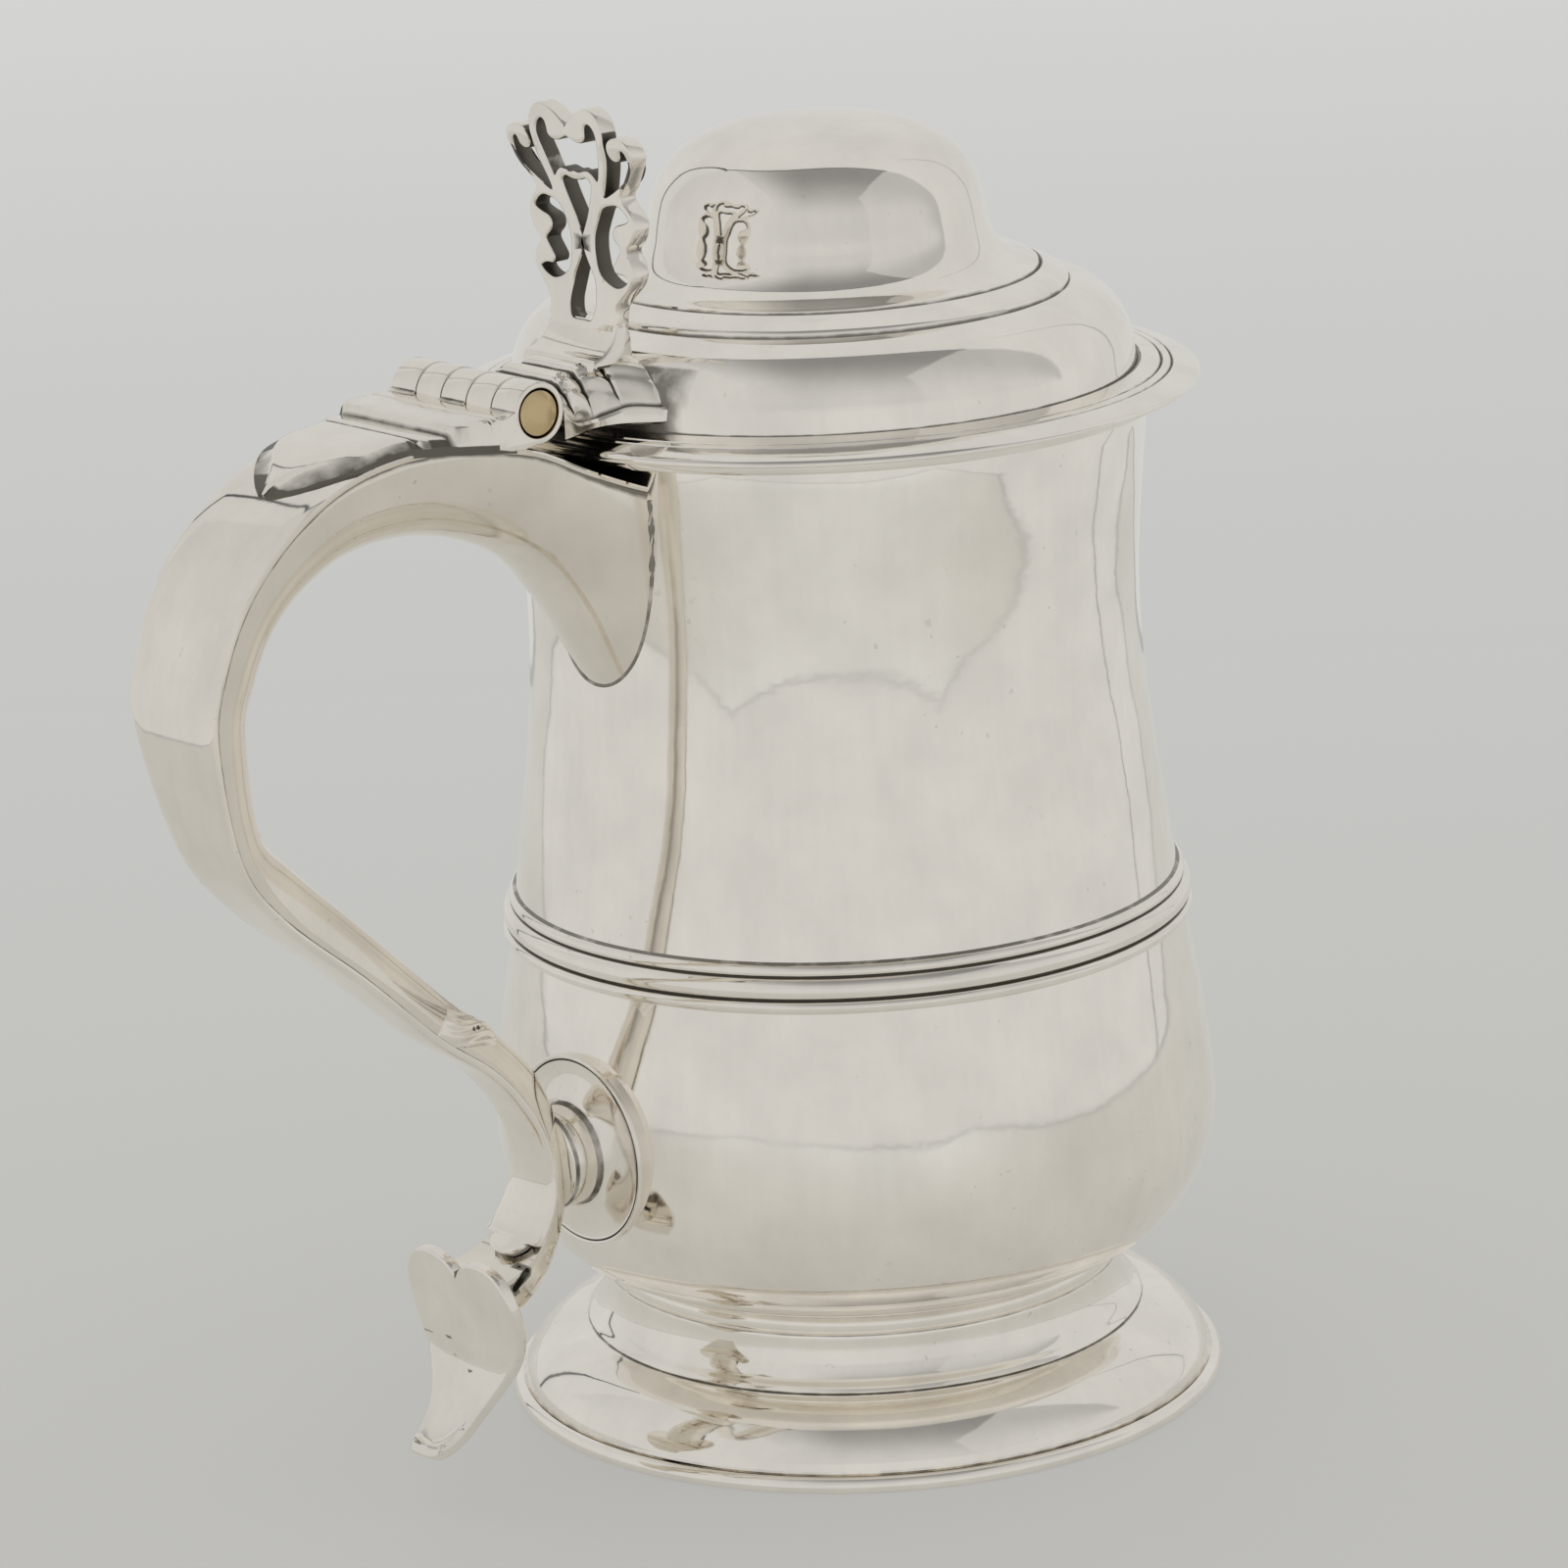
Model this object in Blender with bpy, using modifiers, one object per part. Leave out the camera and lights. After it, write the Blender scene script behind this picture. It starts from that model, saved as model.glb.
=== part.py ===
"""A lidded silver tankard with a hollow scroll handle, a knuckle hinge and a pierced thumbpiece.

The raised body stands on a spreading foot with a wire rim. The handle is a flat strap with a D-shaped
trough behind it, soldered to the body at the top and held off the belly by a boss at the bottom.
Metres, +Z up. The handle points towards -X and the lid turns about an axis along Y.
"""

import math

import bmesh
import bpy
from mathutils import Matrix, Vector

MM = 0.001
JOINT_GAP = 0.3 * MM
SHEET = 1.2 * MM
TURN_STEPS = 36
ROUND_STEPS = 20

# Body
LIP_HEIGHT = 158.8 * MM
LIP_RADIUS = 49.8 * MM
LIP_FLARE = 0.13
WAIST_HEIGHT = 127.0 * MM
WAIST_RADIUS = 47.6 * MM
BAND_HEIGHT = 79.5 * MM
BAND_SEAT_RADIUS = 52.6 * MM
BAND_SLOPE = -0.17
BELLY_HEIGHT = 45.5 * MM
BELLY_RADIUS = 57.0 * MM
NECK_HEIGHT = 22.9 * MM
NECK_RADIUS = 38.0 * MM

# Mid band
BAND_WIDTH = 7.2 * MM
BAND_DEPTH = 1.4 * MM
REED_DEPTH = 1.1 * MM
REED_WIDTH = 1.6 * MM

# Foot
FOOT_TOP_RADIUS = 40.6 * MM
FOOT_STEP_RADIUS = 44.1 * MM
FOOT_STEP_HEIGHT = 11.5 * MM
FOOT_EDGE_RADIUS = 55.0 * MM
FOOT_EDGE_HEIGHT = 2.3 * MM
FOOT_BULGE = 0.9 * MM
FOOT_FILLET = 0.8 * MM
RIM_WIRE_RADIUS = 1.25 * MM
RIM_WIDTH = 3.2 * MM

# Lid, with heights above its seat on the lip
FLANGE_OVERHANG = 8.2 * MM
FLANGE_EDGE_RISE = 2.5 * MM
FLANGE_LINE_RADIUS = 53.1 * MM
TIER_RADIUS = 48.3 * MM
TIER_FOOT_RISE = 4.8 * MM
TIER_TOP_RADIUS = 39.3 * MM
TIER_TOP_RISE = 16.8 * MM
DOME_FOOT_RADIUS = 34.0 * MM
DOME_FOOT_RISE = 20.2 * MM
DOME_WAIST_RADIUS = 26.4 * MM
DOME_RISE = 44.3 * MM
LID_RIM_WIDTH = 5.2 * MM
BEZEL_DEPTH = 4.6 * MM
BEZEL_OVERLAP = 3.0 * MM
BEZEL_WALL = 1.0 * MM

# Hinge
HINGE_OFFSET = 9.6 * MM
HINGE_RISE = 11.6 * MM
KNUCKLE_COUNT = 5
KNUCKLE_RADIUS = 4.55 * MM
BARREL_LENGTH = 30.0 * MM
PIN_RADIUS = 3.45 * MM
BARREL_CLEARANCE = 0.9 * MM
LEAF_SETBACK = 19.0 * MM
LEAF_HEIGHT = 4.2 * MM
LEAF_STEP = 0.7 * MM
LEAF_TIP_HEIGHT = 1.9 * MM
LEAF_MARGIN = 0.5 * MM
LID_LEAF_DROP = 4.7 * MM
LID_LEAF_WAIST = 22.8 * MM
LID_LEAF_FLARE = 34.0 * MM
LID_LEAF_REEDS = 3
LID_REED_HEIGHT = 0.6 * MM

# Thumbpiece
THUMB_HEIGHT = 37.0 * MM
THUMB_WIDTH = 30.0 * MM
THUMB_THICKNESS = 3.0 * MM
THUMB_REACH = 45.5 * MM
THUMB_SEAT_RISE = 15.6 * MM

# Handle
HANDLE_REACH = 126.4 * MM
BOW_DROP = 39.4 * MM
STRAP_THICKNESS = 1.4 * MM
STRAP_EDGE = 0.4 * MM
TROUGH_INSET = 0.5 * MM
TROUGH_WALL = 1.2 * MM
BOSS_HEIGHT = 50.6 * MM
BOSS_LENGTH = 4.0 * MM
BOSS_RADIUS = 15.2 * MM
BOSS_NECK_RADIUS = 7.5 * MM
LOW_DEPTH = 5.4 * MM
COLLAR_HEIGHT = 0.9 * MM
COLLAR_RIBS = 3
HEART_THICKNESS = 1.8 * MM
HEART_WIDTH = 25.0 * MM
VENT_LENGTH = 4.4 * MM
VENT_WIDTH = 1.5 * MM

# Places that follow from the sizes above
LID_SEAT = LIP_HEIGHT + JOINT_GAP
FLANGE_RADIUS = LIP_RADIUS + FLANGE_OVERHANG
HINGE_REACH = FLANGE_RADIUS + HINGE_OFFSET
HINGE_HEIGHT = LIP_HEIGHT + HINGE_RISE
STRAP_TOP = HINGE_HEIGHT - KNUCKLE_RADIUS - BARREL_CLEARANCE
BORE_RADIUS = PIN_RADIUS + JOINT_GAP
LEAF_WIDTH = BARREL_LENGTH - 2 * LEAF_MARGIN
AXIS_X = (HANDLE_REACH - FLANGE_RADIUS) / 2

# A flat outline is drawn in X and Y, then stood up to be seen from the side, from the front or aslant
FROM_SIDE = Matrix.Rotation(math.radians(90), 4, "X")
FROM_FRONT = Matrix.Rotation(math.radians(90), 4, "Z") @ FROM_SIDE
ASLANT = Matrix.Rotation(math.radians(45), 4, "Y") @ FROM_FRONT

SILVER = (0.83, 0.82, 0.79, 1.0)
WARM_SILVER = (0.78, 0.75, 0.69, 1.0)
TARNISHED_SILVER = (0.42, 0.41, 0.39, 1.0)
GILT = (0.72, 0.55, 0.30, 1.0)


def clear_scene():
    for obj in list(bpy.data.objects):
        bpy.data.objects.remove(obj, do_unlink=True)


def collection(name, hidden=False):
    made = bpy.data.collections.new(name)
    made.hide_render = hidden
    bpy.context.scene.collection.children.link(made)
    return made


def empty(name, group, location, parent=None):
    obj = bpy.data.objects.new(name, None)
    obj.location = location
    obj.parent = parent
    group.objects.link(obj)
    return obj


def metal(name, colour, roughness):
    material = bpy.data.materials.new(name)
    material.use_nodes = True
    shader = material.node_tree.nodes["Principled BSDF"]
    shader.inputs["Base Color"].default_value = colour
    shader.inputs["Metallic"].default_value = 1.0
    shader.inputs["Roughness"].default_value = roughness
    return material


def smooth(points, steps):
    """A curve through the points, with the given steps from each to the next."""
    points = [Vector(point) for point in points]
    ends = [2 * points[0] - points[1], *points, 2 * points[-1] - points[-2]]
    curve = []
    for before, here, after, beyond in zip(ends, ends[1:], ends[2:], ends[3:]):
        for step in range(steps):
            t = step / steps
            curve.append(
                here
                + (after - before) * (t / 2)
                + (2 * before - 5 * here + 4 * after - beyond) * (t * t / 2)
                + (3 * here - before - 3 * after + beyond) * (t**3 / 2)
            )
    curve.append(points[-1])
    return curve


def arc(centre, radii, start, end, steps):
    """Points on an ellipse between two angles in degrees."""
    points = []
    for step in range(steps + 1):
        angle = math.radians(start + (end - start) * step / steps)
        place = (radii[0] * math.cos(angle), radii[1] * math.sin(angle))
        points.append(Vector(centre) + Vector(place))
    return points


def offset(points, distance):
    """The line of points moved to the right of its direction by the distance."""
    moved = []
    for i, point in enumerate(points):
        run = points[min(i + 1, len(points) - 1)] - points[max(i - 1, 0)]
        moved.append(point + Vector((run.y, -run.x)).normalized() * distance)
    return moved


def mirrored(half):
    """A closed outline from its right half, listed upwards from the middle line."""
    return [*half, *(Vector((-point[0], point[1])) for point in reversed(half) if abs(point[0]) > 1e-9)]


def turned(name, profile, group, closed=False, steps=TURN_STEPS):
    mesh = bpy.data.meshes.new(name)
    edges = [(i, i + 1) for i in range(len(profile) - 1)]
    if closed:
        edges.append((len(profile) - 1, 0))
    mesh.from_pydata([(point[0], 0, point[1]) for point in profile], edges, [])
    obj = bpy.data.objects.new(name, mesh)
    group.objects.link(obj)
    screw = obj.modifiers.new("Turn", "SCREW")
    screw.axis = "Z"
    screw.steps = steps
    screw.render_steps = steps
    screw.use_merge_vertices = True
    screw.merge_threshold = 0.00001
    screw.use_smooth_shade = True
    return obj


def flat(name, outlines, thickness, group, stand=None):
    """A plate from closed outlines, of which those inside another are holes."""
    curve = bpy.data.curves.new(name, "CURVE")
    curve.dimensions = "2D"
    curve.fill_mode = "BOTH"
    curve.extrude = thickness / 2
    for outline in outlines:
        spline = curve.splines.new("POLY")
        spline.points.add(len(outline) - 1)
        for point, place in zip(spline.points, outline):
            point.co = (place[0], place[1], 0, 1)
        spline.use_cyclic_u = True
    guide = bpy.data.objects.new(name + "_outline", curve)
    group.objects.link(guide)
    bpy.context.view_layer.update()
    mesh = bpy.data.meshes.new_from_object(guide.evaluated_get(bpy.context.evaluated_depsgraph_get()))
    welded = bmesh.new()
    welded.from_mesh(mesh)
    bmesh.ops.remove_doubles(welded, verts=welded.verts, dist=0.00001)
    bmesh.ops.recalc_face_normals(welded, faces=welded.faces)
    if stand:
        welded.transform(stand)
    welded.to_mesh(mesh)
    welded.free()
    mesh.name = name
    obj = bpy.data.objects.new(name, mesh)
    obj.matrix_world = guide.matrix_world
    group.objects.link(obj)
    bpy.data.objects.remove(guide)
    return obj


def loft(name, rings, group):
    """A closed solid skinned over rings of equally many points."""
    shape = bmesh.new()
    rows = [[shape.verts.new(point) for point in ring] for ring in rings]
    for row, following in zip(rows, rows[1:]):
        for i in range(len(row)):
            j = (i + 1) % len(row)
            shape.faces.new((row[i], row[j], following[j], following[i]))
    shape.faces.new(reversed(rows[0]))
    shape.faces.new(rows[-1])
    bmesh.ops.recalc_face_normals(shape, faces=shape.faces)
    mesh = bpy.data.meshes.new(name)
    shape.to_mesh(mesh)
    shape.free()
    obj = bpy.data.objects.new(name, mesh)
    group.objects.link(obj)
    return obj


def cut(obj, other, operation="DIFFERENCE"):
    boolean = obj.modifiers.new(other.name, "BOOLEAN")
    boolean.operation = operation
    boolean.object = other


def as_cutter(obj, parent):
    obj.parent = parent
    obj.hide_render = True
    obj.display_type = "WIRE"
    return obj


def as_part(obj, parent, colour=SILVER, roughness=0.12, location=(0, 0, 0)):
    obj.parent = parent
    obj.location = location
    obj.data.materials.append(metal(obj.name + "_metal", colour, roughness))
    if obj.data.polygons:
        obj.data.shade_smooth()
        obj.data.set_sharp_from_angle(angle=math.radians(35))
    return obj


# The body's line is a chain of smooth stretches above the belly and a quarter ellipse below it
BODY_KEYS = (
    (LIP_RADIUS, LIP_HEIGHT, LIP_FLARE),
    (WAIST_RADIUS, WAIST_HEIGHT, 0.0),
    (BAND_SEAT_RADIUS, BAND_HEIGHT, BAND_SLOPE),
    (BELLY_RADIUS, BELLY_HEIGHT, 0.0),
)
BODY_STEPS = (3, 4, 3)
LOWER_BODY_STEPS = 6


def stretch(top, bottom, t):
    """A point of the body's line between two of its keys."""
    drop = bottom[1] - top[1]
    radius = (
        top[0] * (1 - 3 * t**2 + 2 * t**3)
        + bottom[0] * (3 * t**2 - 2 * t**3)
        + drop * top[2] * (t - 2 * t**2 + t**3)
        + drop * bottom[2] * (t**3 - t**2)
    )
    return Vector((radius, top[1] + drop * t))


def body_line():
    line = []
    for top, bottom, steps in zip(BODY_KEYS, BODY_KEYS[1:], BODY_STEPS):
        line += [stretch(top, bottom, step / steps) for step in range(steps)]
    radii = (BELLY_RADIUS - NECK_RADIUS, BELLY_HEIGHT - NECK_HEIGHT)
    line += arc((NECK_RADIUS, BELLY_HEIGHT), radii, 0, -90, LOWER_BODY_STEPS)
    return line


def body_radius(height):
    """The body's outer radius at a height above the belly."""
    for top, bottom in zip(BODY_KEYS, BODY_KEYS[1:]):
        if height >= bottom[1]:
            return stretch(top, bottom, (height - top[1]) / (bottom[1] - top[1])).x
    return BELLY_RADIUS


def make_body(parts, cutters, root):
    outer = body_line()
    inner = offset(outer, SHEET)
    inner[0].y = LIP_HEIGHT
    base = Vector((0, NECK_HEIGHT))
    profile = [base + Vector((0, SHEET)), *reversed(inner), *outer, base]
    as_part(turned("body", profile, parts), root)

    skin = offset(outer, -JOINT_GAP)
    above = Vector((skin[0].x, LID_SEAT + JOINT_GAP))
    profile = [Vector((0, above.y)), above, *skin[1:], Vector((0, skin[-1].y))]
    return as_cutter(turned("body_space", profile, cutters), root)


def make_mid_band(parts, root):
    """A moulded strip of a wide middle between two reeds, bent round the body and soldered on."""
    top = BAND_HEIGHT + BAND_WIDTH / 2
    bottom = BAND_HEIGHT - BAND_WIDTH / 2
    seat = body_radius(bottom)
    upper = body_radius(top)
    middle = BAND_WIDTH / 2 - REED_WIDTH
    profile = [
        Vector((upper + JOINT_GAP, top)),
        Vector((upper + REED_DEPTH, top - 0.2 * REED_WIDTH)),
        Vector((upper + REED_DEPTH, top - 0.8 * REED_WIDTH)),
        *arc((seat + JOINT_GAP, BAND_HEIGHT), (BAND_DEPTH - JOINT_GAP, middle), 60, -60, 4),
        Vector((seat + REED_DEPTH, bottom + 0.8 * REED_WIDTH)),
        Vector((seat + REED_DEPTH, bottom + 0.2 * REED_WIDTH)),
        Vector((seat + JOINT_GAP, bottom)),
        Vector((body_radius(BAND_HEIGHT) + JOINT_GAP, BAND_HEIGHT)),
    ]
    as_part(turned("mid_band", profile, parts, closed=True), root)


def make_foot(parts, root):
    """The raised foot, a hollow neck over a spreading moulding, and the wire soldered round its edge."""
    top = Vector((FOOT_TOP_RADIUS, NECK_HEIGHT - JOINT_GAP))
    step = Vector((FOOT_STEP_RADIUS, FOOT_STEP_HEIGHT))
    edge = Vector((FOOT_EDGE_RADIUS, FOOT_EDGE_HEIGHT))
    waist = Vector((top.x + FOOT_FILLET / 2, (2 * top.y + step.y) / 3))
    brim = Vector((step.x - FOOT_FILLET, step.y + 1.5 * FOOT_FILLET))
    neck = smooth((top, waist, brim), 2)
    bulge = (step + edge) / 2 + Vector((edge.y - step.y, step.x - edge.x)).normalized() * -FOOT_BULGE
    spread = smooth((step + Vector((FOOT_FILLET / 2, -FOOT_FILLET / 2)), bulge, edge), 2)
    outer = [*neck, Vector((step.x, step.y + FOOT_FILLET)), step, *spread]
    inner = offset(outer, SHEET)
    inner[0] = Vector((top.x - SHEET, top.y))
    inner[-1] = Vector((edge.x - SHEET, edge.y))
    as_part(turned("foot", [*outer, *reversed(inner)], parts, closed=True), root)

    rim_top = edge.y - JOINT_GAP
    wire = arc((edge.x + SHEET / 2, rim_top / 2), (RIM_WIRE_RADIUS, rim_top / 2), 90, -90, 5)
    hollow = edge.x + SHEET / 2 - RIM_WIDTH
    profile = [*wire, Vector((hollow, 0)), Vector((hollow, rim_top))]
    as_part(turned("foot_rim", profile, parts, closed=True), root)


def lid_line():
    """The lid's outer line from its top to the foot of the lower tier."""

    def at(radius, rise):
        return Vector((radius, LID_SEAT + rise))

    shoulder = (DOME_RISE - DOME_FOOT_RISE) * 0.74
    dome = smooth(
        (
            at(0, DOME_RISE),
            at(0.58 * DOME_WAIST_RADIUS, DOME_RISE - 2.1 * MM),
            at(0.92 * DOME_WAIST_RADIUS, DOME_FOOT_RISE + 0.82 * shoulder),
            at(DOME_WAIST_RADIUS + 0.6 * MM, DOME_FOOT_RISE + 0.32 * shoulder),
            at(0.5 * (DOME_WAIST_RADIUS + DOME_FOOT_RADIUS), DOME_FOOT_RISE + 1.3 * MM),
            at(DOME_FOOT_RADIUS, DOME_FOOT_RISE),
        ),
        2,
    )
    ring = [
        at(DOME_FOOT_RADIUS + 0.6 * MM, DOME_FOOT_RISE - 0.6 * MM),
        at(TIER_TOP_RADIUS - 0.8 * MM, TIER_TOP_RISE + 0.9 * MM),
    ]
    width = TIER_RADIUS - TIER_TOP_RADIUS
    height = TIER_TOP_RISE - TIER_FOOT_RISE
    tier = arc((TIER_TOP_RADIUS, LID_SEAT + TIER_FOOT_RISE), (width, height), 90, 0, 5)
    return [*dome, *ring, *tier]


def make_lid(parts, cutters, hang):
    """The cover raised in one sheet, the ring that rests on the lip and the bezel that centres it."""
    line = lid_line()
    foot = line[-1]
    edge = Vector((FLANGE_RADIUS, LID_SEAT + FLANGE_EDGE_RISE))
    groove = foot.lerp(edge, (FLANGE_LINE_RADIUS - foot.x) / (edge.x - foot.x))
    groove.y += SHEET / 2
    inner = offset(line, SHEET)
    inner[0].x = 0
    under = foot - Vector((SHEET, SHEET))
    profile = [
        *line,
        groove - Vector((SHEET / 2, 0)),
        groove + Vector((SHEET / 2, -SHEET / 2)),
        edge + Vector((-SHEET, SHEET / 2)),
        edge,
        edge + Vector((-SHEET / 4, -SHEET / 2)),
        edge + Vector((-SHEET, -SHEET / 2)),
        under,
        *reversed(inner[:-1]),
    ]
    place = (HINGE_REACH, 0, -HINGE_HEIGHT)
    as_part(turned("lid_cover", profile, parts), hang, location=place)

    inside = LIP_RADIUS - SHEET + JOINT_GAP
    outside = inside + LID_RIM_WIDTH
    slope = (edge.y - SHEET / 2 - under.y) / (edge.x - SHEET - under.x)

    def below_flange(radius):
        return under.y + slope * (radius - under.x) - JOINT_GAP

    profile = [
        Vector((inside, below_flange(inside))),
        Vector((outside + SHEET / 2, below_flange(outside + SHEET / 2))),
        Vector((outside + SHEET / 2, LID_SEAT + SHEET)),
        Vector((outside, LID_SEAT)),
        Vector((inside, LID_SEAT)),
    ]
    as_part(turned("lid_rim", profile, parts, closed=True), hang, location=place)

    bezel_radius = TIER_RADIUS - SHEET - JOINT_GAP
    bezel_bottom = LIP_HEIGHT - BEZEL_DEPTH
    bezel_top = foot.y + BEZEL_OVERLAP
    bezel_in = bezel_radius - BEZEL_WALL
    tuck = bezel_radius - BEZEL_WALL / 2
    profile = [
        Vector((tuck, bezel_top)),
        Vector((bezel_radius, foot.y)),
        Vector((bezel_radius, bezel_bottom + BEZEL_WALL)),
        Vector((tuck, bezel_bottom)),
        Vector((bezel_in, bezel_bottom)),
        Vector((bezel_in, bezel_top)),
    ]
    as_part(turned("lid_bezel", profile, parts, closed=True), hang, WARM_SILVER, location=place)

    skin = offset(line, -JOINT_GAP)
    skin[0].x = 0
    profile = [*skin, Vector((0, skin[-1].y))]
    lid_space = as_cutter(turned("lid_space", profile, cutters), hang)
    lid_space.location = place
    return lid_space, place


def handle_rows():
    """Sections of the handle from the body to its tail.

    Each row holds the strap's middle, the way from there to the trough's back and half the strap's width.
    """
    lip = Vector((LIP_RADIUS, STRAP_TOP))
    top = Vector((HINGE_REACH, STRAP_TOP))
    bow = Vector((HANDLE_REACH, HINGE_HEIGHT - BOW_DROP))
    low = Vector((BELLY_RADIUS + BOSS_LENGTH + LOW_DEPTH, BOSS_HEIGHT))
    rows = (
        (lip, (-6.8, -12.3), (0.0, -38.6), 13.5),
        (lip, (-0.8, -9.2), (1.0, -28.9), 14.6),
        (top, (-9.6, -4.6), (-2.5, -24.3), 14.4),
        (top, (0.0, 0.0), (-4.6, -20.3), 13.4),
        (top, (11.4, 2.2), (-7.0, -17.3), 12.2),
        (top, (22.4, 2.9), (-6.6, -15.0), 11.8),
        (top.lerp(bow, 0.5), (4.3, 17.8), (-5.9, -13.5), 11.7),
        (bow, (-14.9, 29.0), (-7.2, -11.5), 11.4),
        (bow, (-6.6, 20.6), (-9.6, -8.2), 11.1),
        (bow, (-1.7, 10.5), (-11.1, -4.4), 10.6),
        (bow, (0.0, 0.0), (-11.0, -0.5), 9.9),
        (bow.lerp(low, 0.25), (10.6, 0.9), (-8.3, 3.5), 7.6),
        (bow.lerp(low, 0.375), (10.0, -0.2), (-6.7, 6.4), 6.2),
        (bow.lerp(low, 0.5), (3.0, -2.7), (-5.5, 6.0), 5.5),
        (low, (19.5, 24.9), (-5.3, 5.5), 4.7),
        (low, (9.6, 17.4), (-5.0, 4.7), 4.3),
        (low, (3.7, 10.5), (-6.1, 3.2), 4.4),
        (low, (0.0, 2.8), (-LOW_DEPTH / MM, 0.8), 5.0),
        (low, (0.4, -4.6), (-LOW_DEPTH / MM, -1.5), 5.9),
        (low, (4.5, -10.4), (-6.4, -4.7), 6.6),
        (low, (9.3, -12.6), (-5.8, -8.5), 7.3),
        (low, (13.5, -13.0), (-2.0, -12.1), 8.0),
    )
    return [
        Vector((*(anchor + Vector(shift) * MM), *(Vector(depth) * MM), half * MM))
        for anchor, shift, depth, half in rows
    ]


# Places along the handle, as shares of its run from the body to the tail
HANDLE_STEPS = 42
LEAF_SHARES = (0.143, 0.381)
BOSS_SHARE = 0.667
COLLAR_SHARES = (0.681, 0.714)
TAB_SHARE = 0.9214
TAB_POINT_SHARE = 0.0143
TAB_WIDTH_SHARES = (0.55, 0.15)
VENT_SHARE = 0.9476
VENT_RUN_SHARE = 0.024


def handle_at(share):
    """The handle's section at a share of its run."""
    rows = handle_rows()
    row = share * (len(rows) - 1)
    start = min(int(row), len(rows) - 2)
    first = max(start - 1, 0)
    steps = 20
    near = smooth(rows[first : start + 3], steps)
    return near[round((row - first) * steps)]


def handle_run(start, end):
    """Sections from one share of the run to another."""
    count = max(2, round((end - start) * HANDLE_STEPS))
    return [handle_at(start + (end - start) * i / count) for i in range(count + 1)]


def on_section(section, side, depth):
    """The point of a section that lies the given distance to the side and behind the strap's face."""
    inward = Vector((section[2], section[3])).normalized()
    place = Vector((section[0], section[1])) + inward * depth
    return (-place.x, side, place.y)


def strap_ring(section, front, back, half):
    edge = min(STRAP_EDGE, (back - front) / 2.5)
    corners = (
        (half - edge, front),
        (half, front + edge),
        (half, back - edge),
        (half - edge, back),
    )
    ring = [on_section(section, side, depth) for side, depth in corners]
    ring += [on_section(section, -side, depth) for side, depth in reversed(corners)]
    return ring


def trough_line(section, grow, steps):
    """The D-shaped back of a section, from edge to edge, grown outwards by a distance."""
    depth = math.hypot(section[2], section[3])
    front = STRAP_THICKNESS + JOINT_GAP
    half = section[4] - TROUGH_INSET + grow
    back = depth - front + grow
    angles = [math.pi * (step / steps - 0.5) for step in range(steps + 1)]
    return [on_section(section, half * math.sin(a), front + back * math.cos(a)) for a in angles]


def make_handle(parts, cutters, root, body_space):
    shoulder = TAB_SHARE - TAB_POINT_SHARE
    rings = [strap_ring(section, 0, STRAP_THICKNESS, section[4]) for section in handle_run(0, shoulder)]
    for share, section in zip(TAB_WIDTH_SHARES, handle_run(shoulder, TAB_SHARE)[1:]):
        rings.append(strap_ring(section, 0, STRAP_THICKNESS, share * section[4]))
    strap = as_part(loft("handle_strap", rings, parts), root)
    cut(strap, body_space)

    stem_sections = handle_run(TAB_SHARE + TAB_POINT_SHARE / 4, 1)
    rings = [
        strap_ring(section, STRAP_THICKNESS / 2, STRAP_THICKNESS, section[4] - TROUGH_INSET)
        for section in stem_sections
    ]
    as_part(loft("handle_stem", rings, parts), root)

    whole = handle_run(0, 1)
    rings = []
    for section in whole:
        outside = trough_line(section, 0, 8)
        inside = trough_line(section, -TROUGH_WALL, 8)
        rings.append([*outside, *reversed(inside)])
    trough = as_part(loft("handle_trough", rings, parts), root)
    cut(trough, body_space)
    cut(trough, make_vent(cutters, root))

    rings = []
    for section in handle_run(BOSS_SHARE, 1):
        front = strap_ring(section, 0, STRAP_THICKNESS, section[4])[::3]
        rings.append([*trough_line(section, JOINT_GAP, 12), *front])
    handle_space = as_cutter(loft("handle_space", rings, cutters), root)
    make_boss(parts, root, body_space, handle_space)
    make_collar(parts, root)
    make_heart(parts, cutters, root)


def make_vent(cutters, root):
    """The slot that lets air out of the closed trough when it is soldered."""
    section = handle_at(VENT_SHARE)
    x, _, z = on_section(section, 0, STRAP_THICKNESS + JOINT_GAP + VENT_WIDTH / 2)
    run = handle_at(VENT_SHARE + VENT_RUN_SHARE) - handle_at(VENT_SHARE - VENT_RUN_SHARE)
    half = (VENT_LENGTH - VENT_WIDTH) / 2
    round_end = (VENT_WIDTH / 2, VENT_WIDTH / 2)
    outline = [*arc((half, 0), round_end, -90, 90, 6), *arc((-half, 0), round_end, 90, 270, 6)]
    vent = flat("vent_space", [outline], section[4] * 2, cutters, FROM_SIDE)
    as_cutter(vent, root)
    vent.location = (x, -section[4] * 1.4, z)
    vent.rotation_euler = (0, math.atan2(run[1], run[0]), 0)
    return vent


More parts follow.
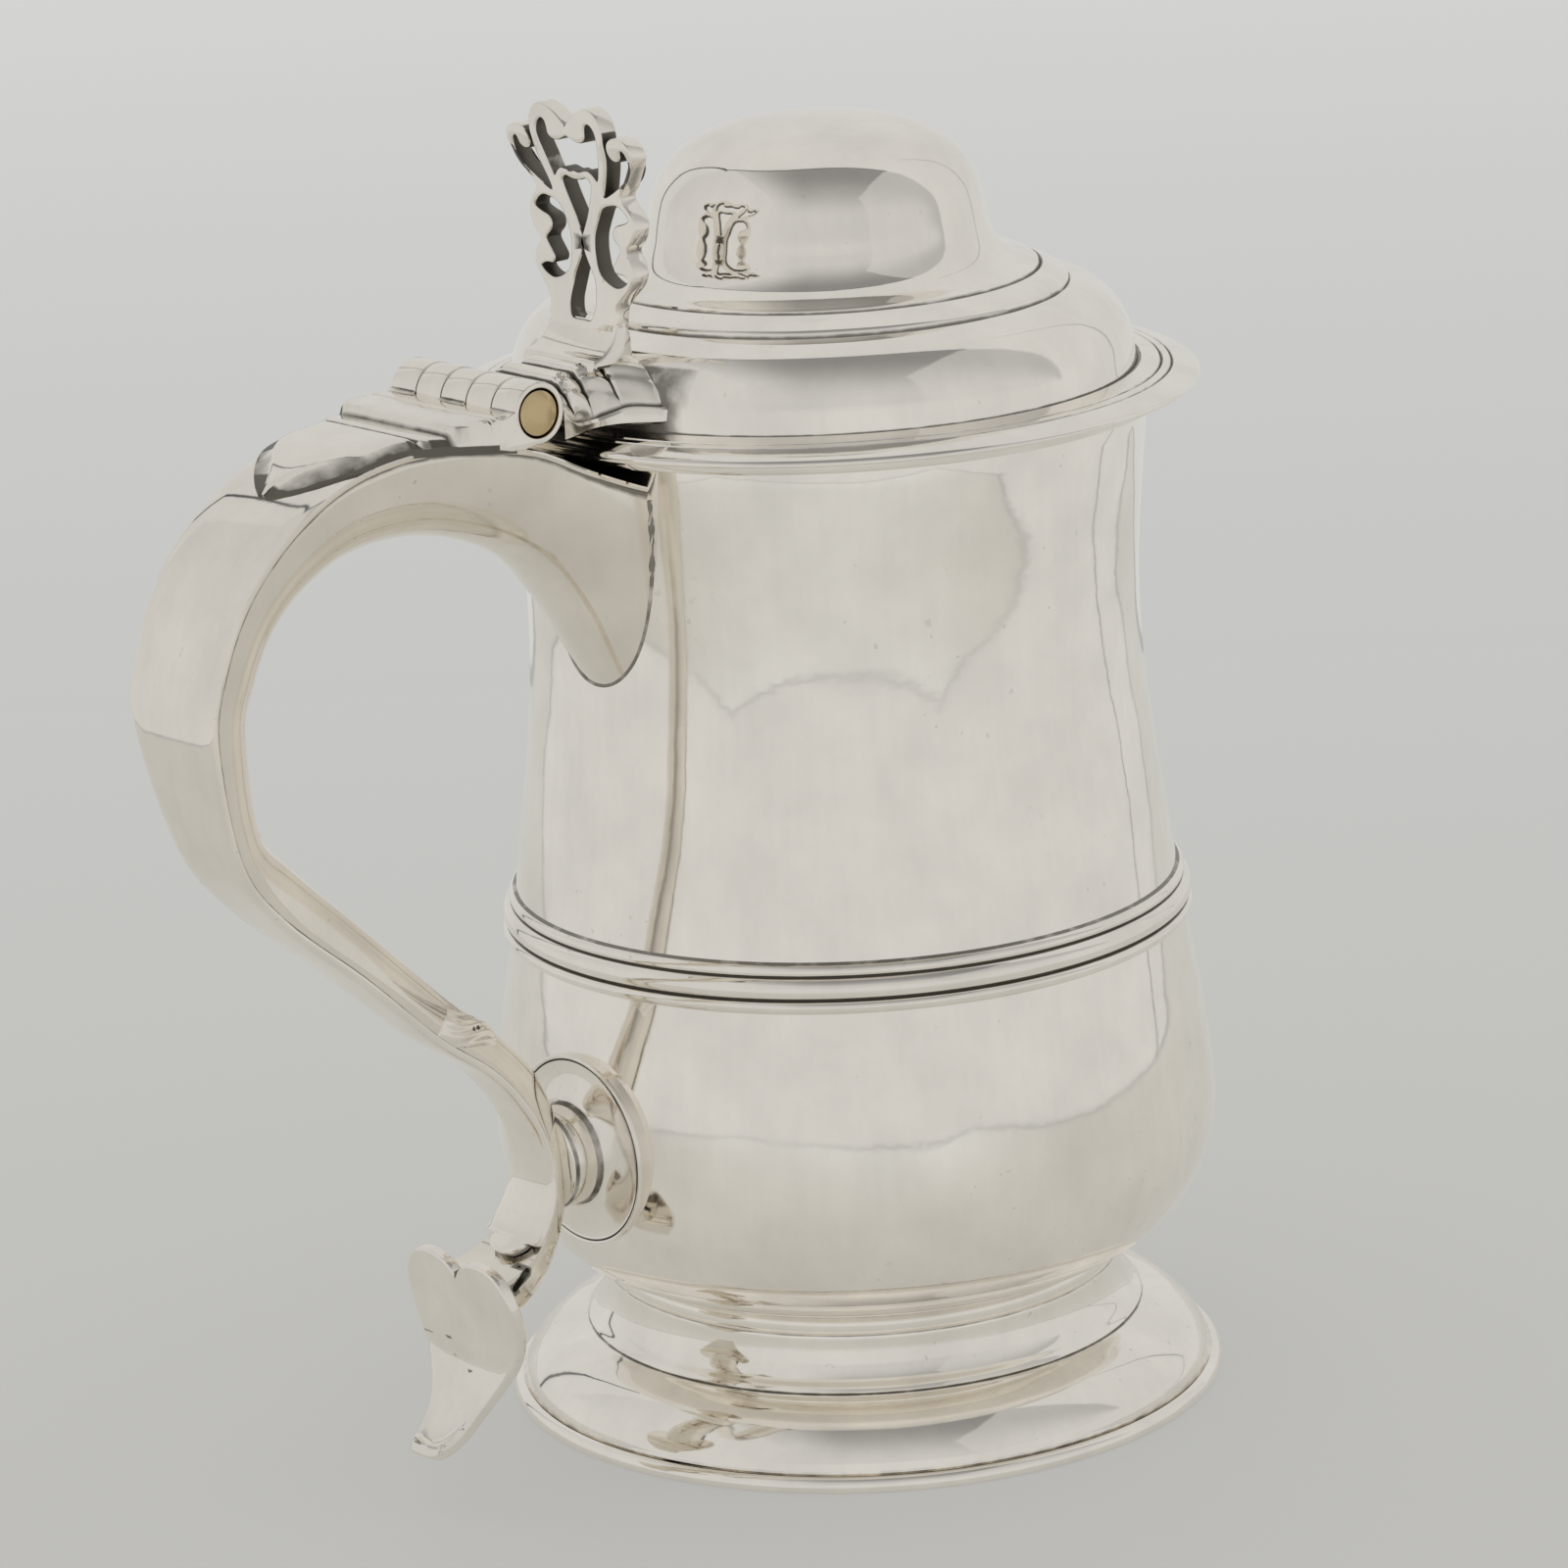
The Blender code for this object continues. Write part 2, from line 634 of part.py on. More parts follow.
def make_boss(parts, root, body_space, handle_space):
    """The trumpet-shaped boss that holds the handle off the belly."""
    seat = BELLY_RADIUS + BOSS_LENGTH
    profile = [
        Vector((0, seat + LOW_DEPTH / 4)),
        Vector((BOSS_NECK_RADIUS, seat + LOW_DEPTH / 4)),
        Vector((BOSS_NECK_RADIUS, seat)),
        *smooth(
            (
                (BOSS_NECK_RADIUS + 0.4 * MM, seat - 0.3 * BOSS_LENGTH),
                (BOSS_NECK_RADIUS + 0.35 * (BOSS_RADIUS - BOSS_NECK_RADIUS), seat - 0.72 * BOSS_LENGTH),
                (BOSS_RADIUS, BELLY_RADIUS - SHEET / 2),
            ),
            3,
        ),
        Vector((BOSS_RADIUS, BELLY_RADIUS - BOSS_LENGTH)),
        Vector((0, BELLY_RADIUS - BOSS_LENGTH)),
    ]
    boss = turned("handle_boss", profile, parts, steps=ROUND_STEPS)
    as_part(boss, root, location=(0, 0, BOSS_HEIGHT))
    boss.rotation_euler = (0, math.radians(-90), 0)
    cut(boss, body_space)
    cut(boss, handle_space)


def make_collar(parts, root):
    """A ribbed half ring round the trough where the handle turns in towards the boss."""
    count = 2 * COLLAR_RIBS
    rings = []
    for i in range(count + 1):
        section = handle_at(COLLAR_SHARES[0] + (COLLAR_SHARES[1] - COLLAR_SHARES[0]) * i / count)
        height = COLLAR_HEIGHT if i % 2 else COLLAR_HEIGHT / 2
        outside = trough_line(section, JOINT_GAP + height, 10)
        inside = trough_line(section, JOINT_GAP, 10)
        rings.append([*outside, *reversed(inside)])
    as_part(loft("handle_collar", rings, parts), root, WARM_SILVER)


def make_heart(parts, cutters, root):
    """The heart-shaped plate that closes the handle's tail, its point drawn out and turned up."""
    tail = handle_rows()[-1]
    end = Vector((tail[0], tail[1]))
    close = Vector((-tail[3], tail[2])).normalized() * JOINT_GAP

    def back(reach, rise):
        return end + close + Vector((reach, rise)) * MM

    line = smooth(
        (back(1.3, 7.0), back(0.0, 0.0), back(-2.0, -12.1), back(0.7, -19.2), back(5.6, -24.4),
         back(9.6, -25.8), back(12.2, -23.8)),
        3,
    )
    face = offset(line, -HEART_THICKNESS)
    outline = [Vector((-point.x, point.y)) for point in (*line, *reversed(face))]
    heart = flat("handle_heart", [outline], 2 * HEART_WIDTH, parts, FROM_SIDE)
    as_part(heart, root)

    wide = HEART_WIDTH / 2
    half = smooth(
        (
            (0, -22.0 * MM),
            (0.17 * wide, -20.6 * MM),
            (0.31 * wide, -16.6 * MM),
            (0.52 * wide, -11.0 * MM),
            (0.84 * wide, -4.4 * MM),
            (wide, 0.4 * MM),
            (0.82 * wide, 2.9 * MM),
            (0.48 * wide, 3.7 * MM),
            (0.16 * wide, 3.2 * MM),
            (0, 2.0 * MM),
        ),
        2,
    )
    shape = flat("heart_outline", [mirrored(half)], 2 * HEART_WIDTH, cutters, ASLANT)
    as_cutter(shape, root)
    middle = end.lerp(end + Vector((tail[2], tail[3])), 0.6)
    shape.location = (-middle.x, 0, middle.y)
    cut(heart, shape, "INTERSECT")


def make_barrel(parts, cutters, root, hang):
    """Five knuckles in turn on the handle and the lid, and the pin through them."""
    pitch = BARREL_LENGTH / KNUCKLE_COUNT
    half = (pitch - JOINT_GAP) / 2
    profile = [
        Vector((KNUCKLE_RADIUS, half)),
        Vector((KNUCKLE_RADIUS, -half)),
        Vector((BORE_RADIUS, -half)),
        Vector((BORE_RADIUS, half)),
    ]
    hinge = Vector((-HINGE_REACH, 0, HINGE_HEIGHT))
    for i in range(KNUCKLE_COUNT):
        owner = "lid" if i % 2 else "handle"
        knuckle = turned(f"{owner}_knuckle_{i + 1}", profile, parts, closed=True, steps=ROUND_STEPS)
        along = Vector((0, (i - (KNUCKLE_COUNT - 1) / 2) * pitch, 0))
        if i % 2:
            as_part(knuckle, hang, location=along)
        else:
            as_part(knuckle, root, location=hinge + along)
        knuckle.rotation_euler = (math.radians(90), 0, 0)

    end = BARREL_LENGTH / 2
    profile = [Vector((0, end)), Vector((PIN_RADIUS, end)), Vector((PIN_RADIUS, -end)), Vector((0, -end))]
    pin = turned("hinge_pin", profile, parts, steps=ROUND_STEPS)
    as_part(pin, root, GILT, 0.22, location=hinge)
    pin.rotation_euler = (math.radians(90), 0, 0)

    space = KNUCKLE_RADIUS + JOINT_GAP
    profile = [Vector((0, LEAF_WIDTH)), Vector((space, LEAF_WIDTH)), Vector((space, -LEAF_WIDTH)),
               Vector((0, -LEAF_WIDTH))]
    barrel_space = as_cutter(turned("barrel_space", profile, cutters, steps=ROUND_STEPS), root)
    barrel_space.location = hinge
    barrel_space.rotation_euler = (math.radians(90), 0, 0)
    return barrel_space


def make_handle_leaf(parts, cutters, root, barrel_space):
    """The fixed leaf: a stepped plate on the handle's top that ends in an ogee point."""
    seat = [Vector((section[0], section[1])) for section in handle_run(*LEAF_SHARES)]
    seat = offset(seat, -JOINT_GAP)
    start = HINGE_REACH + 0.66 * KNUCKLE_RADIUS
    end = HANDLE_REACH - LEAF_SETBACK

    def on_seat(reach, height):
        for here, after in zip(seat, seat[1:]):
            if reach <= after.x:
                return here.lerp(after, (reach - here.x) / (after.x - here.x)) + Vector((0, height))
        return seat[-1] + Vector((0, height))

    first_step = HINGE_REACH + 2.1 * KNUCKLE_RADIUS
    second_step = start + 0.5 * (end - start)
    top = [
        on_seat(start, LEAF_HEIGHT + 1.6 * LEAF_STEP),
        on_seat(start + 0.5 * (first_step - start), LEAF_HEIGHT),
        on_seat(first_step, LEAF_HEIGHT),
        on_seat(first_step + LEAF_STEP / 2, LEAF_HEIGHT - LEAF_STEP),
        on_seat(second_step, LEAF_HEIGHT - 2 * LEAF_STEP),
        on_seat(second_step + LEAF_STEP / 2, LEAF_HEIGHT - 3 * LEAF_STEP),
        on_seat(0.5 * (second_step + end), LEAF_TIP_HEIGHT),
        on_seat(end, LEAF_TIP_HEIGHT),
    ]
    count = 9
    under = [on_seat(end + (start - end) * i / count, 0) for i in range(count + 1)]
    outline = [Vector((-point.x, point.y)) for point in (*top, *under)]
    leaf = flat("handle_leaf", [outline], 2 * LEAF_WIDTH, parts, FROM_SIDE)
    as_part(leaf, root, TARNISHED_SILVER, 0.3)

    wide = LEAF_WIDTH / 2
    narrow = 0.7 * wide
    side = [
        Vector((0, end)),
        *smooth(
            (
                (0.2 * narrow, end - 0.9 * MM),
                (0.55 * narrow, end - 5.2 * MM),
                (narrow, end - 9.8 * MM),
            ),
            3,
        ),
        *smooth(
            (
                (narrow, second_step),
                (1.15 * narrow, 0.45 * first_step + 0.55 * second_step),
                (wide, first_step),
            ),
            3,
        ),
        Vector((wide, HINGE_REACH)),
        Vector((0, HINGE_REACH)),
    ]
    plan = [Vector((-point[1], point[0])) for point in mirrored(side)]
    shape = flat("handle_leaf_plan", [plan], 4 * HINGE_RISE, cutters)
    as_cutter(shape, root)
    shape.location = (0, 0, HINGE_HEIGHT)
    cut(leaf, shape, "INTERSECT")
    cut(leaf, barrel_space)


def make_lid_leaf(parts, cutters, hang, place, barrel_space, lid_space):
    """The moving leaf: a reeded bracket from the barrel to the lid's lower tier, under the thumbpiece."""
    seat = LID_SEAT + THUMB_SEAT_RISE - JOINT_GAP
    bottom = HINGE_HEIGHT - LID_LEAF_DROP
    inner = TIER_TOP_RADIUS
    plinth = THUMB_REACH + THUMB_THICKNESS
    start = HINGE_REACH - 0.82 * KNUCKLE_RADIUS
    fall = seat - (HINGE_HEIGHT + 0.6 * KNUCKLE_RADIUS)
    reed = (start - plinth) / LID_LEAF_REEDS
    top = [Vector((inner, seat)), Vector((plinth, seat))]
    for i in range(LID_LEAF_REEDS):
        middle = (plinth + (i + 0.5) * reed, seat - fall * (i + 0.5) / LID_LEAF_REEDS - LID_REED_HEIGHT)
        top += arc(middle, (0.46 * reed, LID_REED_HEIGHT), 165, 15, 4)
    tail = [Vector((start, HINGE_HEIGHT)), Vector((HINGE_REACH - 1.4 * KNUCKLE_RADIUS, bottom)),
            Vector((inner, bottom + LID_REED_HEIGHT))]
    outline = [Vector((-point.x, point.y)) for point in (*top, *tail)]
    leaf = flat("lid_leaf", [outline], 2 * LID_LEAF_FLARE, parts, FROM_SIDE)
    as_part(leaf, hang, TARNISHED_SILVER, 0.3, location=place)

    side = smooth(
        (
            (LID_LEAF_FLARE / 2, inner + 2 * MM),
            (LID_LEAF_WAIST / 2 + 1.4 * MM, plinth),
            (LID_LEAF_WAIST / 2, 0.5 * (plinth + start) - 1.0 * MM),
            (LEAF_WIDTH / 2, start - 1.4 * MM),
            (LEAF_WIDTH / 2, HINGE_REACH),
        ),
        3,
    )
    half = [Vector((0, inner)), Vector((LID_LEAF_FLARE / 2, inner)), *side, Vector((0, HINGE_REACH))]
    plan = [Vector((-point[1], point[0])) for point in mirrored(half)]
    shape = flat("lid_leaf_plan", [plan], 6 * HINGE_RISE, cutters)
    as_cutter(shape, hang)
    shape.location = Vector(place) + Vector((0, 0, HINGE_HEIGHT))
    cut(leaf, shape, "INTERSECT")
    cut(leaf, barrel_space)
    cut(leaf, lid_space)


def closed_curve(points, steps):
    """A smooth loop through the points."""
    looped = smooth((points[-1], *points, points[0], points[1]), steps)
    return looped[steps : steps * (len(points) + 1)]


def make_thumbpiece(parts, hang, place):
    """A cast plate of paired scrolls, pierced between them, drawn here 30 mm wide and 37 mm tall."""
    across = THUMB_WIDTH / 30
    up = THUMB_HEIGHT / 37

    def drawn(points):
        return [Vector((x * across, y * up)) for x, y in points]

    scrolls = drawn((
        (10.0, 0.0), (9.4, 2.3), (7.6, 5.8), (8.4, 8.2), (11.0, 10.6), (10.2, 13.4), (9.8, 15.4),
        (11.2, 18.6), (11.0, 21.2), (9.8, 22.9), (12.2, 25.4), (14.8, 28.6), (14.6, 31.8), (12.2, 33.4),
        (9.2, 33.2), (7.4, 35.2), (4.3, 37.0), (1.6, 36.0), (0.0, 34.0),
    ))
    foot_slot = drawn(((0.0, 4.2), (1.5, 4.7), (2.6, 7.0), (2.7, 10.0), (1.6, 12.6), (0.0, 14.6)))
    drop = drawn(((0.0, 16.8), (1.5, 19.6), (2.8, 22.8), (2.6, 25.4), (1.2, 26.6), (0.0, 26.3)))
    window = drawn((
        (0.0, 28.6), (1.6, 27.8), (3.6, 27.6), (5.5, 28.8), (6.5, 30.8), (7.1, 32.6), (6.3, 33.2),
        (5.6, 31.9), (4.2, 30.9), (2.2, 30.9), (0.8, 31.7), (0.0, 32.4),
    ))
    holes = [mirrored(hole) for hole in (foot_slot, drop, window)]
    kidney = drawn((
        (6.2, 9.8), (8.6, 10.2), (9.0, 12.2), (7.2, 14.1), (8.8, 16.0), (9.7, 18.6), (9.0, 21.2),
        (6.8, 22.2), (4.8, 20.6), (4.0, 16.5), (4.4, 12.4),
    ))
    comma = drawn((
        (7.5, 24.4), (9.6, 25.4), (12.2, 27.4), (13.2, 29.4), (11.8, 31.0), (9.6, 30.2), (8.2, 27.6),
    ))
    for side in (1, -1):
        for hole in (kidney, comma):
            holes.append([Vector((side * point.x, point.y)) for point in closed_curve(hole, 2)])
    outline = mirrored([Vector((0, 0)), *smooth(scrolls, 2)])
    thumb = flat("thumbpiece", [outline, *holes], THUMB_THICKNESS, parts, FROM_FRONT)
    rise = Vector((-THUMB_REACH, 0, LID_SEAT + THUMB_SEAT_RISE))
    as_part(thumb, hang, location=Vector(place) + rise)


def build():
    clear_scene()
    parts = collection("tankard")
    cutters = collection("cutters", hidden=True)
    root = empty("tankard_axis", parts, (AXIS_X, 0, 0))
    hang = empty("lid_axis", parts, (-HINGE_REACH, 0, HINGE_HEIGHT), root)
    body_space = make_body(parts, cutters, root)
    make_mid_band(parts, root)
    make_foot(parts, root)
    make_handle(parts, cutters, root, body_space)
    lid_space, place = make_lid(parts, cutters, hang)
    barrel_space = make_barrel(parts, cutters, root, hang)
    make_handle_leaf(parts, cutters, root, barrel_space)
    make_lid_leaf(parts, cutters, hang, place, barrel_space, lid_space)
    make_thumbpiece(parts, hang, place)


build()
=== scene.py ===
"""A polished silver tankard with a domed lid, scroll handle and pierced thumbpiece, in a light tent."""

import math

import bmesh
import bpy
from mathutils import Matrix, Vector
from mathutils.bvhtree import BVHTree


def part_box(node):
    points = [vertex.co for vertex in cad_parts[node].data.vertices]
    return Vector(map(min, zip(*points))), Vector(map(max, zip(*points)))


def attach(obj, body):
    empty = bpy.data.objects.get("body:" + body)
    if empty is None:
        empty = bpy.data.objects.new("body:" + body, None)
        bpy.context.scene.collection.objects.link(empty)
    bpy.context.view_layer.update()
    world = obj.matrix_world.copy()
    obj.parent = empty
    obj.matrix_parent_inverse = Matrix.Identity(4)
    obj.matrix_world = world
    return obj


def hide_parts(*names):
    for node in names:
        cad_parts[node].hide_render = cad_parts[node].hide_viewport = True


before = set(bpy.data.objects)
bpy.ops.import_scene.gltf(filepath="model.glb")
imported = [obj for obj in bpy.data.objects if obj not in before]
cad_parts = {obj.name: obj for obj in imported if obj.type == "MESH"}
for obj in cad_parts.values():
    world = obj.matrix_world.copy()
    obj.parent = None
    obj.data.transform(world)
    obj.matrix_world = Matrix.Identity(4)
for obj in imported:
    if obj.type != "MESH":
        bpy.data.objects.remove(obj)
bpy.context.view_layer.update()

# The body is one sheet of silver, raised with a hammer over stakes from the neck below to the flared
# lip above, then planished and polished by hand, so its shine wavers a little and has fine scratches.
# The pieces are modelled in millimetres round the body's own axis and set down in metres.
low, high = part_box("body")
AXIS = (low.x + high.x) / 2
MM = 0.001
SHEET = 1.2


def through(points, steps):
    """A smooth line through the points."""
    points = [Vector(point) for point in points]
    ends = [2 * points[0] - points[1], *points, 2 * points[-1] - points[-2]]
    line = []
    for before, here, after, beyond in zip(ends, ends[1:], ends[2:], ends[3:]):
        for step in range(steps):
            t = step / steps
            line.append(
                here
                + (after - before) * (t / 2)
                + (2 * before - 5 * here + 4 * after - beyond) * (t * t / 2)
                + (3 * here - before - 3 * after + beyond) * (t**3 / 2)
            )
    line.append(points[-1])
    return line


def beside(line, distance):
    """The line moved to its right."""
    moved = []
    for i, point in enumerate(line):
        run = line[min(i + 1, len(line) - 1)] - line[max(i - 1, 0)]
        moved.append(point + Vector((run.y, -run.x)).normalized() * distance)
    return moved


def spun(line, closed=False, steps=168):
    """A line of radii and heights turned round the body's axis."""
    shape = bmesh.new()
    dots = [shape.verts.new((point[0], 0, point[1])) for point in line]
    links = [shape.edges.new(pair) for pair in zip(dots, dots[1:])]
    if closed:
        links.append(shape.edges.new((dots[-1], dots[0])))
    bmesh.ops.spin(
        shape,
        geom=dots + links,
        cent=(0, 0, 0),
        axis=(0, 0, 1),
        angle=math.tau,
        steps=steps,
        use_merge=True,
    )
    bmesh.ops.remove_doubles(shape, verts=shape.verts, dist=0.0005)
    bmesh.ops.recalc_face_normals(shape, faces=shape.faces)
    return shape


def mark_tarnish_and_shade(shape, reach, extra_tarnish_and_shade):
    """Notes on each point how dark it is painted: tarnish where a polishing cloth misses it and painted
    shade, in creases and in holes, and any extra darkening the piece gives.
    """
    clear = 0.02
    fade = 1.6 * reach
    tarnish_and_shade = shape.verts.layers.float.new("tarnish_and_shade")
    for vert in shape.verts:
        for edge in vert.link_edges:
            run = (edge.other_vert(vert).co - vert.co).normalized()
            vert[tarnish_and_shade] = max(vert[tarnish_and_shade], run.dot(vert.normal))
        if extra_tarnish_and_shade:
            vert[tarnish_and_shade] = max(vert[tarnish_and_shade], extra_tarnish_and_shade(vert))
    near = BVHTree.FromBMesh(shape)
    for face in shape.faces:
        met = near.ray_cast(face.calc_center_median() + face.normal * clear, face.normal, reach)
        if met[3]:
            for vert in face.verts:
                vert[tarnish_and_shade] = max(vert[tarnish_and_shade], 1 - met[3] / fade)


def set_down(shape):
    """Takes a shape from millimetres round the body's axis to metres in the frame."""
    bmesh.ops.scale(shape, vec=(MM, MM, MM), verts=shape.verts)
    bmesh.ops.translate(shape, vec=(AXIS, 0, 0), verts=shape.verts)


CREASE = math.radians(38)


def piece(name, shape, finish, body, *nodes, slot="silver", reach=5.0, extra_tarnish_and_shade=None):
    """Sets a shape down in the frame as one finished piece."""
    shape.normal_update()
    bmesh.ops.recalc_face_normals(shape, faces=shape.faces)
    shape.verts.index_update()
    # Tarnish and painted shade are marked on the shape's points here.
    mark_tarnish_and_shade(shape, reach, extra_tarnish_and_shade)
    set_down(shape)
    mesh = bpy.data.meshes.new(name)
    shape.to_mesh(mesh)
    shape.free()
    mesh.materials.append(finish)
    mesh.shade_smooth()
    mesh.set_sharp_from_angle(angle=CREASE)
    obj = bpy.data.objects.new(name, mesh)
    bpy.context.scene.collection.objects.link(obj)
    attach(obj, body)
    if nodes:
        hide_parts(*nodes)
    return obj


def feed(tree, socket, value):
    """Links an output to a socket, or sets a plain value on it."""
    if isinstance(value, bpy.types.NodeSocket):
        tree.links.new(value, socket)
    else:
        socket.default_value = value


def worked(tree, operation, *values):
    """A sum on outputs and numbers."""
    node = tree.nodes.new("ShaderNodeMath")
    node.operation = operation
    for socket, value in zip(node.inputs, values):
        feed(tree, socket, value)
    return node.outputs[0]


def ranged(tree, value, low, high, out_low=0.0, out_high=1.0, easing="LINEAR"):
    """One range of values stretched to another."""
    node = tree.nodes.new("ShaderNodeMapRange")
    node.interpolation_type = easing
    for name, number in (("From Min", low), ("From Max", high), ("To Min", out_low), ("To Max", out_high)):
        node.inputs[name].default_value = number
    tree.links.new(value, node.inputs["Value"])
    return node.outputs["Result"]


def mixed(tree, share, first, second, blend="MIX"):
    """Two colours mixed by a share or a mask."""
    node = tree.nodes.new("ShaderNodeMix")
    node.data_type = "RGBA"
    node.blend_type = blend
    feed(tree, node.inputs[0], share)
    feed(tree, node.inputs[6], first)
    feed(tree, node.inputs[7], second)
    return node.outputs[2]


def hand_polish():
    """Wavering shine, hairline scratches, dull smears and small dark pits on hand-polished silver."""
    mirror = 0.04
    tree = bpy.data.node_groups.new("hand_polish", "ShaderNodeTree")
    sockets = tree.interface
    for name, kind, value in (
        ("Silver", "NodeSocketColor", (0.93, 0.92, 0.89, 1)),
        ("Shade_and_tarnish_colour", "NodeSocketColor", (0.13, 0.12, 0.10, 1)),
        ("Wave", "NodeSocketFloat", 0.35),
        ("Scratches", "NodeSocketFloat", 0.2),
        ("Dullness", "NodeSocketFloat", 0.05),
        ("Pits", "NodeSocketFloat", 0.3),
        ("Soil", "NodeSocketFloat", 0.8),
    ):
        socket = sockets.new_socket(name, in_out="INPUT", socket_type=kind)
        socket.default_value = value
    for name, kind in (
        ("Colour", "NodeSocketColor"),
        ("Roughness", "NodeSocketFloat"),
        ("Normal", "NodeSocketVector"),
    ):
        sockets.new_socket(name, in_out="OUTPUT", socket_type=kind)
    given = tree.nodes.new("NodeGroupInput").outputs
    put = tree.nodes.new("NodeGroupOutput").inputs
    place = tree.nodes.new("ShaderNodeTexCoord").outputs["Object"]

    def noise(scale, detail, stretch=None, turn=(0, 0, 0)):
        source = place
        if stretch:
            mapping = tree.nodes.new("ShaderNodeMapping")
            mapping.inputs["Scale"].default_value = stretch
            mapping.inputs["Rotation"].default_value = turn
            tree.links.new(place, mapping.inputs["Vector"])
            source = mapping.outputs["Vector"]
        texture = tree.nodes.new("ShaderNodeTexNoise")
        texture.inputs["Scale"].default_value = scale
        texture.inputs["Detail"].default_value = detail
        tree.links.new(source, texture.inputs["Vector"])
        return texture.outputs["Fac"]

    hair = ranged(tree, noise(420.0, 2.0, (1, 1, 0.06), (0.3, 0.5, 0.2)), 0.60, 0.72)
    cross = ranged(tree, noise(380.0, 2.0, (0.05, 1, 1), (0.1, 0.9, 0.7)), 0.62, 0.74)
    lines = worked(tree, "MULTIPLY", worked(tree, "MAXIMUM", hair, cross), given["Scratches"])
    patch = ranged(tree, noise(26.0, 3.0), 0.50, 0.72)
    pits = worked(tree, "MULTIPLY", ranged(tree, noise(560.0, 1.0), 0.735, 0.76), patch)
    pits = worked(tree, "MULTIPLY", pits, given["Pits"])
    # Creases, holes and joints are painted darker towards the dark colour, partly as tarnish and partly as
    # painted shade.
    shade_and_tarnish_attribute = tree.nodes.new("ShaderNodeAttribute")
    shade_and_tarnish_attribute.attribute_name = "tarnish_and_shade"
    uneven = ranged(tree, noise(300.0, 3.0), 0.25, 0.75, 0.55, 1.35)
    creases = worked(tree, "MULTIPLY", shade_and_tarnish_attribute.outputs["Fac"], uneven)
    creases = worked(tree, "MULTIPLY", ranged(tree, creases, 0.14, 0.50), given["Soil"])
    dark = worked(tree, "MAXIMUM", pits, creases)

    smear = ranged(tree, noise(38.0, 4.0), 0.35, 0.75)
    rough = worked(tree, "MULTIPLY_ADD", smear, given["Dullness"], mirror)
    rough = worked(tree, "MULTIPLY_ADD", lines, 0.12, rough)
    rough = worked(tree, "MULTIPLY_ADD", dark, 0.4, rough)
    tree.links.new(rough, put["Roughness"])

    cloud = ranged(tree, noise(85.0, 5.0), 0.30, 0.70, 0.92, 1.02)
    wiped = ranged(tree, noise(520.0, 4.0, (1, 1, 0.08)), 0.30, 0.70, 0.98, 1.005)
    film = mixed(tree, 1.0, given["Silver"], worked(tree, "MULTIPLY", cloud, wiped), "MULTIPLY")
    tree.links.new(mixed(tree, dark, film, given["Shade_and_tarnish_colour"]), put["Colour"])

    swell = worked(tree, "MULTIPLY_ADD", noise(160.0, 2.0), 0.07, noise(34.0, 1.0))
    wave = worked(tree, "MULTIPLY", swell, given["Wave"])
    bump = tree.nodes.new("ShaderNodeBump")
    bump.inputs["Distance"].default_value = 0.001
    tree.links.new(worked(tree, "MULTIPLY_ADD", lines, -0.004, wave), bump.inputs["Height"])
    tree.links.new(bump.outputs["Normal"], put["Normal"])
    return tree


POLISH = hand_polish()


def silver(name, colour, **values):
    """A silver finish from the shared polish, with its own tint and wear."""
    material = bpy.data.materials.new(name)
    material.use_nodes = True
    nodes = material.node_tree.nodes
    link = material.node_tree.links.new
    shader = nodes["Principled BSDF"]
    shader.inputs["Metallic"].default_value = 1.0
    polish = nodes.new("ShaderNodeGroup")
    polish.node_tree = POLISH
    polish.inputs["Silver"].default_value = (*colour, 1)
    for socket, value in values.items():
        polish.inputs[socket].default_value = value
    link(polish.outputs["Colour"], shader.inputs["Base Color"])
    link(polish.outputs["Roughness"], shader.inputs["Roughness"])
    link(polish.outputs["Normal"], shader.inputs["Normal"])
    return material


BRIGHT_SILVER = silver("bright_silver", (0.965, 0.93, 0.872))
outer = through(
    (
        (49.8, 158.8), (48.87, 148.2), (47.99, 137.6), (47.6, 127.0), (48.05, 115.1), (49.3, 103.2),
        (50.93, 91.4), (52.6, 79.5), (54.36, 68.2), (56.12, 56.8), (57.0, 45.5), (56.35, 39.65),
        (54.45, 34.2), (51.44, 29.5), (47.5, 25.9), (42.9, 23.67), (38.0, 22.9),
    ),
    6,
)
inner = beside(outer, SHEET)
lip = [Vector((48.8, 158.6)), Vector((49.2, 158.9)), Vector((49.6, 158.9))]
line = [(0, 24.1), *reversed(inner[1:]), *lip, *outer[1:], (0, 22.9)]
piece("tankard_body", spun(line), BRIGHT_SILVER, "vessel", "body")

# The mid band is a strip of drawn silver moulding, a broad reed between two lesser ones, bent round the
# body and soldered on. Its two grooves are painted dark as old tarnish and painted shade, and painted shade
# runs along its edges.
BAND_SILVER = silver("band_silver", (0.95, 0.91, 0.85), Wave=0.1)
line = [
    (51.6, 83.9), (52.1, 83.55), (52.45, 83.25), (52.7, 83.1), (53.05, 82.7), (53.2, 82.2), (53.05, 81.75),
    (52.7, 81.5), (53.15, 81.25), (53.9, 80.6), (54.2, 79.9), (54.25, 79.3), (54.05, 78.6), (53.6, 78.2),
    (53.35, 78.0), (53.9, 77.75), (54.3, 77.3), (54.35, 76.9), (54.2, 76.4), (53.85, 76.05), (53.3, 75.8),
    (52.95, 75.6), (52.5, 75.1),
]


def band_edge_shadows(vert):
    """Painted shade along the band's upper edge, and a painted shadow under its lower one."""
    return 0.55 if vert.co.z > 83.2 else 0.9 if vert.co.z < 75.75 else 0.0


shape = spun([*through(line, 3), (52.0, 79.5)], closed=True)
piece("mid_band_moulding", shape, BAND_SILVER, "vessel", "mid_band", extra_tarnish_and_shade=band_edge_shadows)

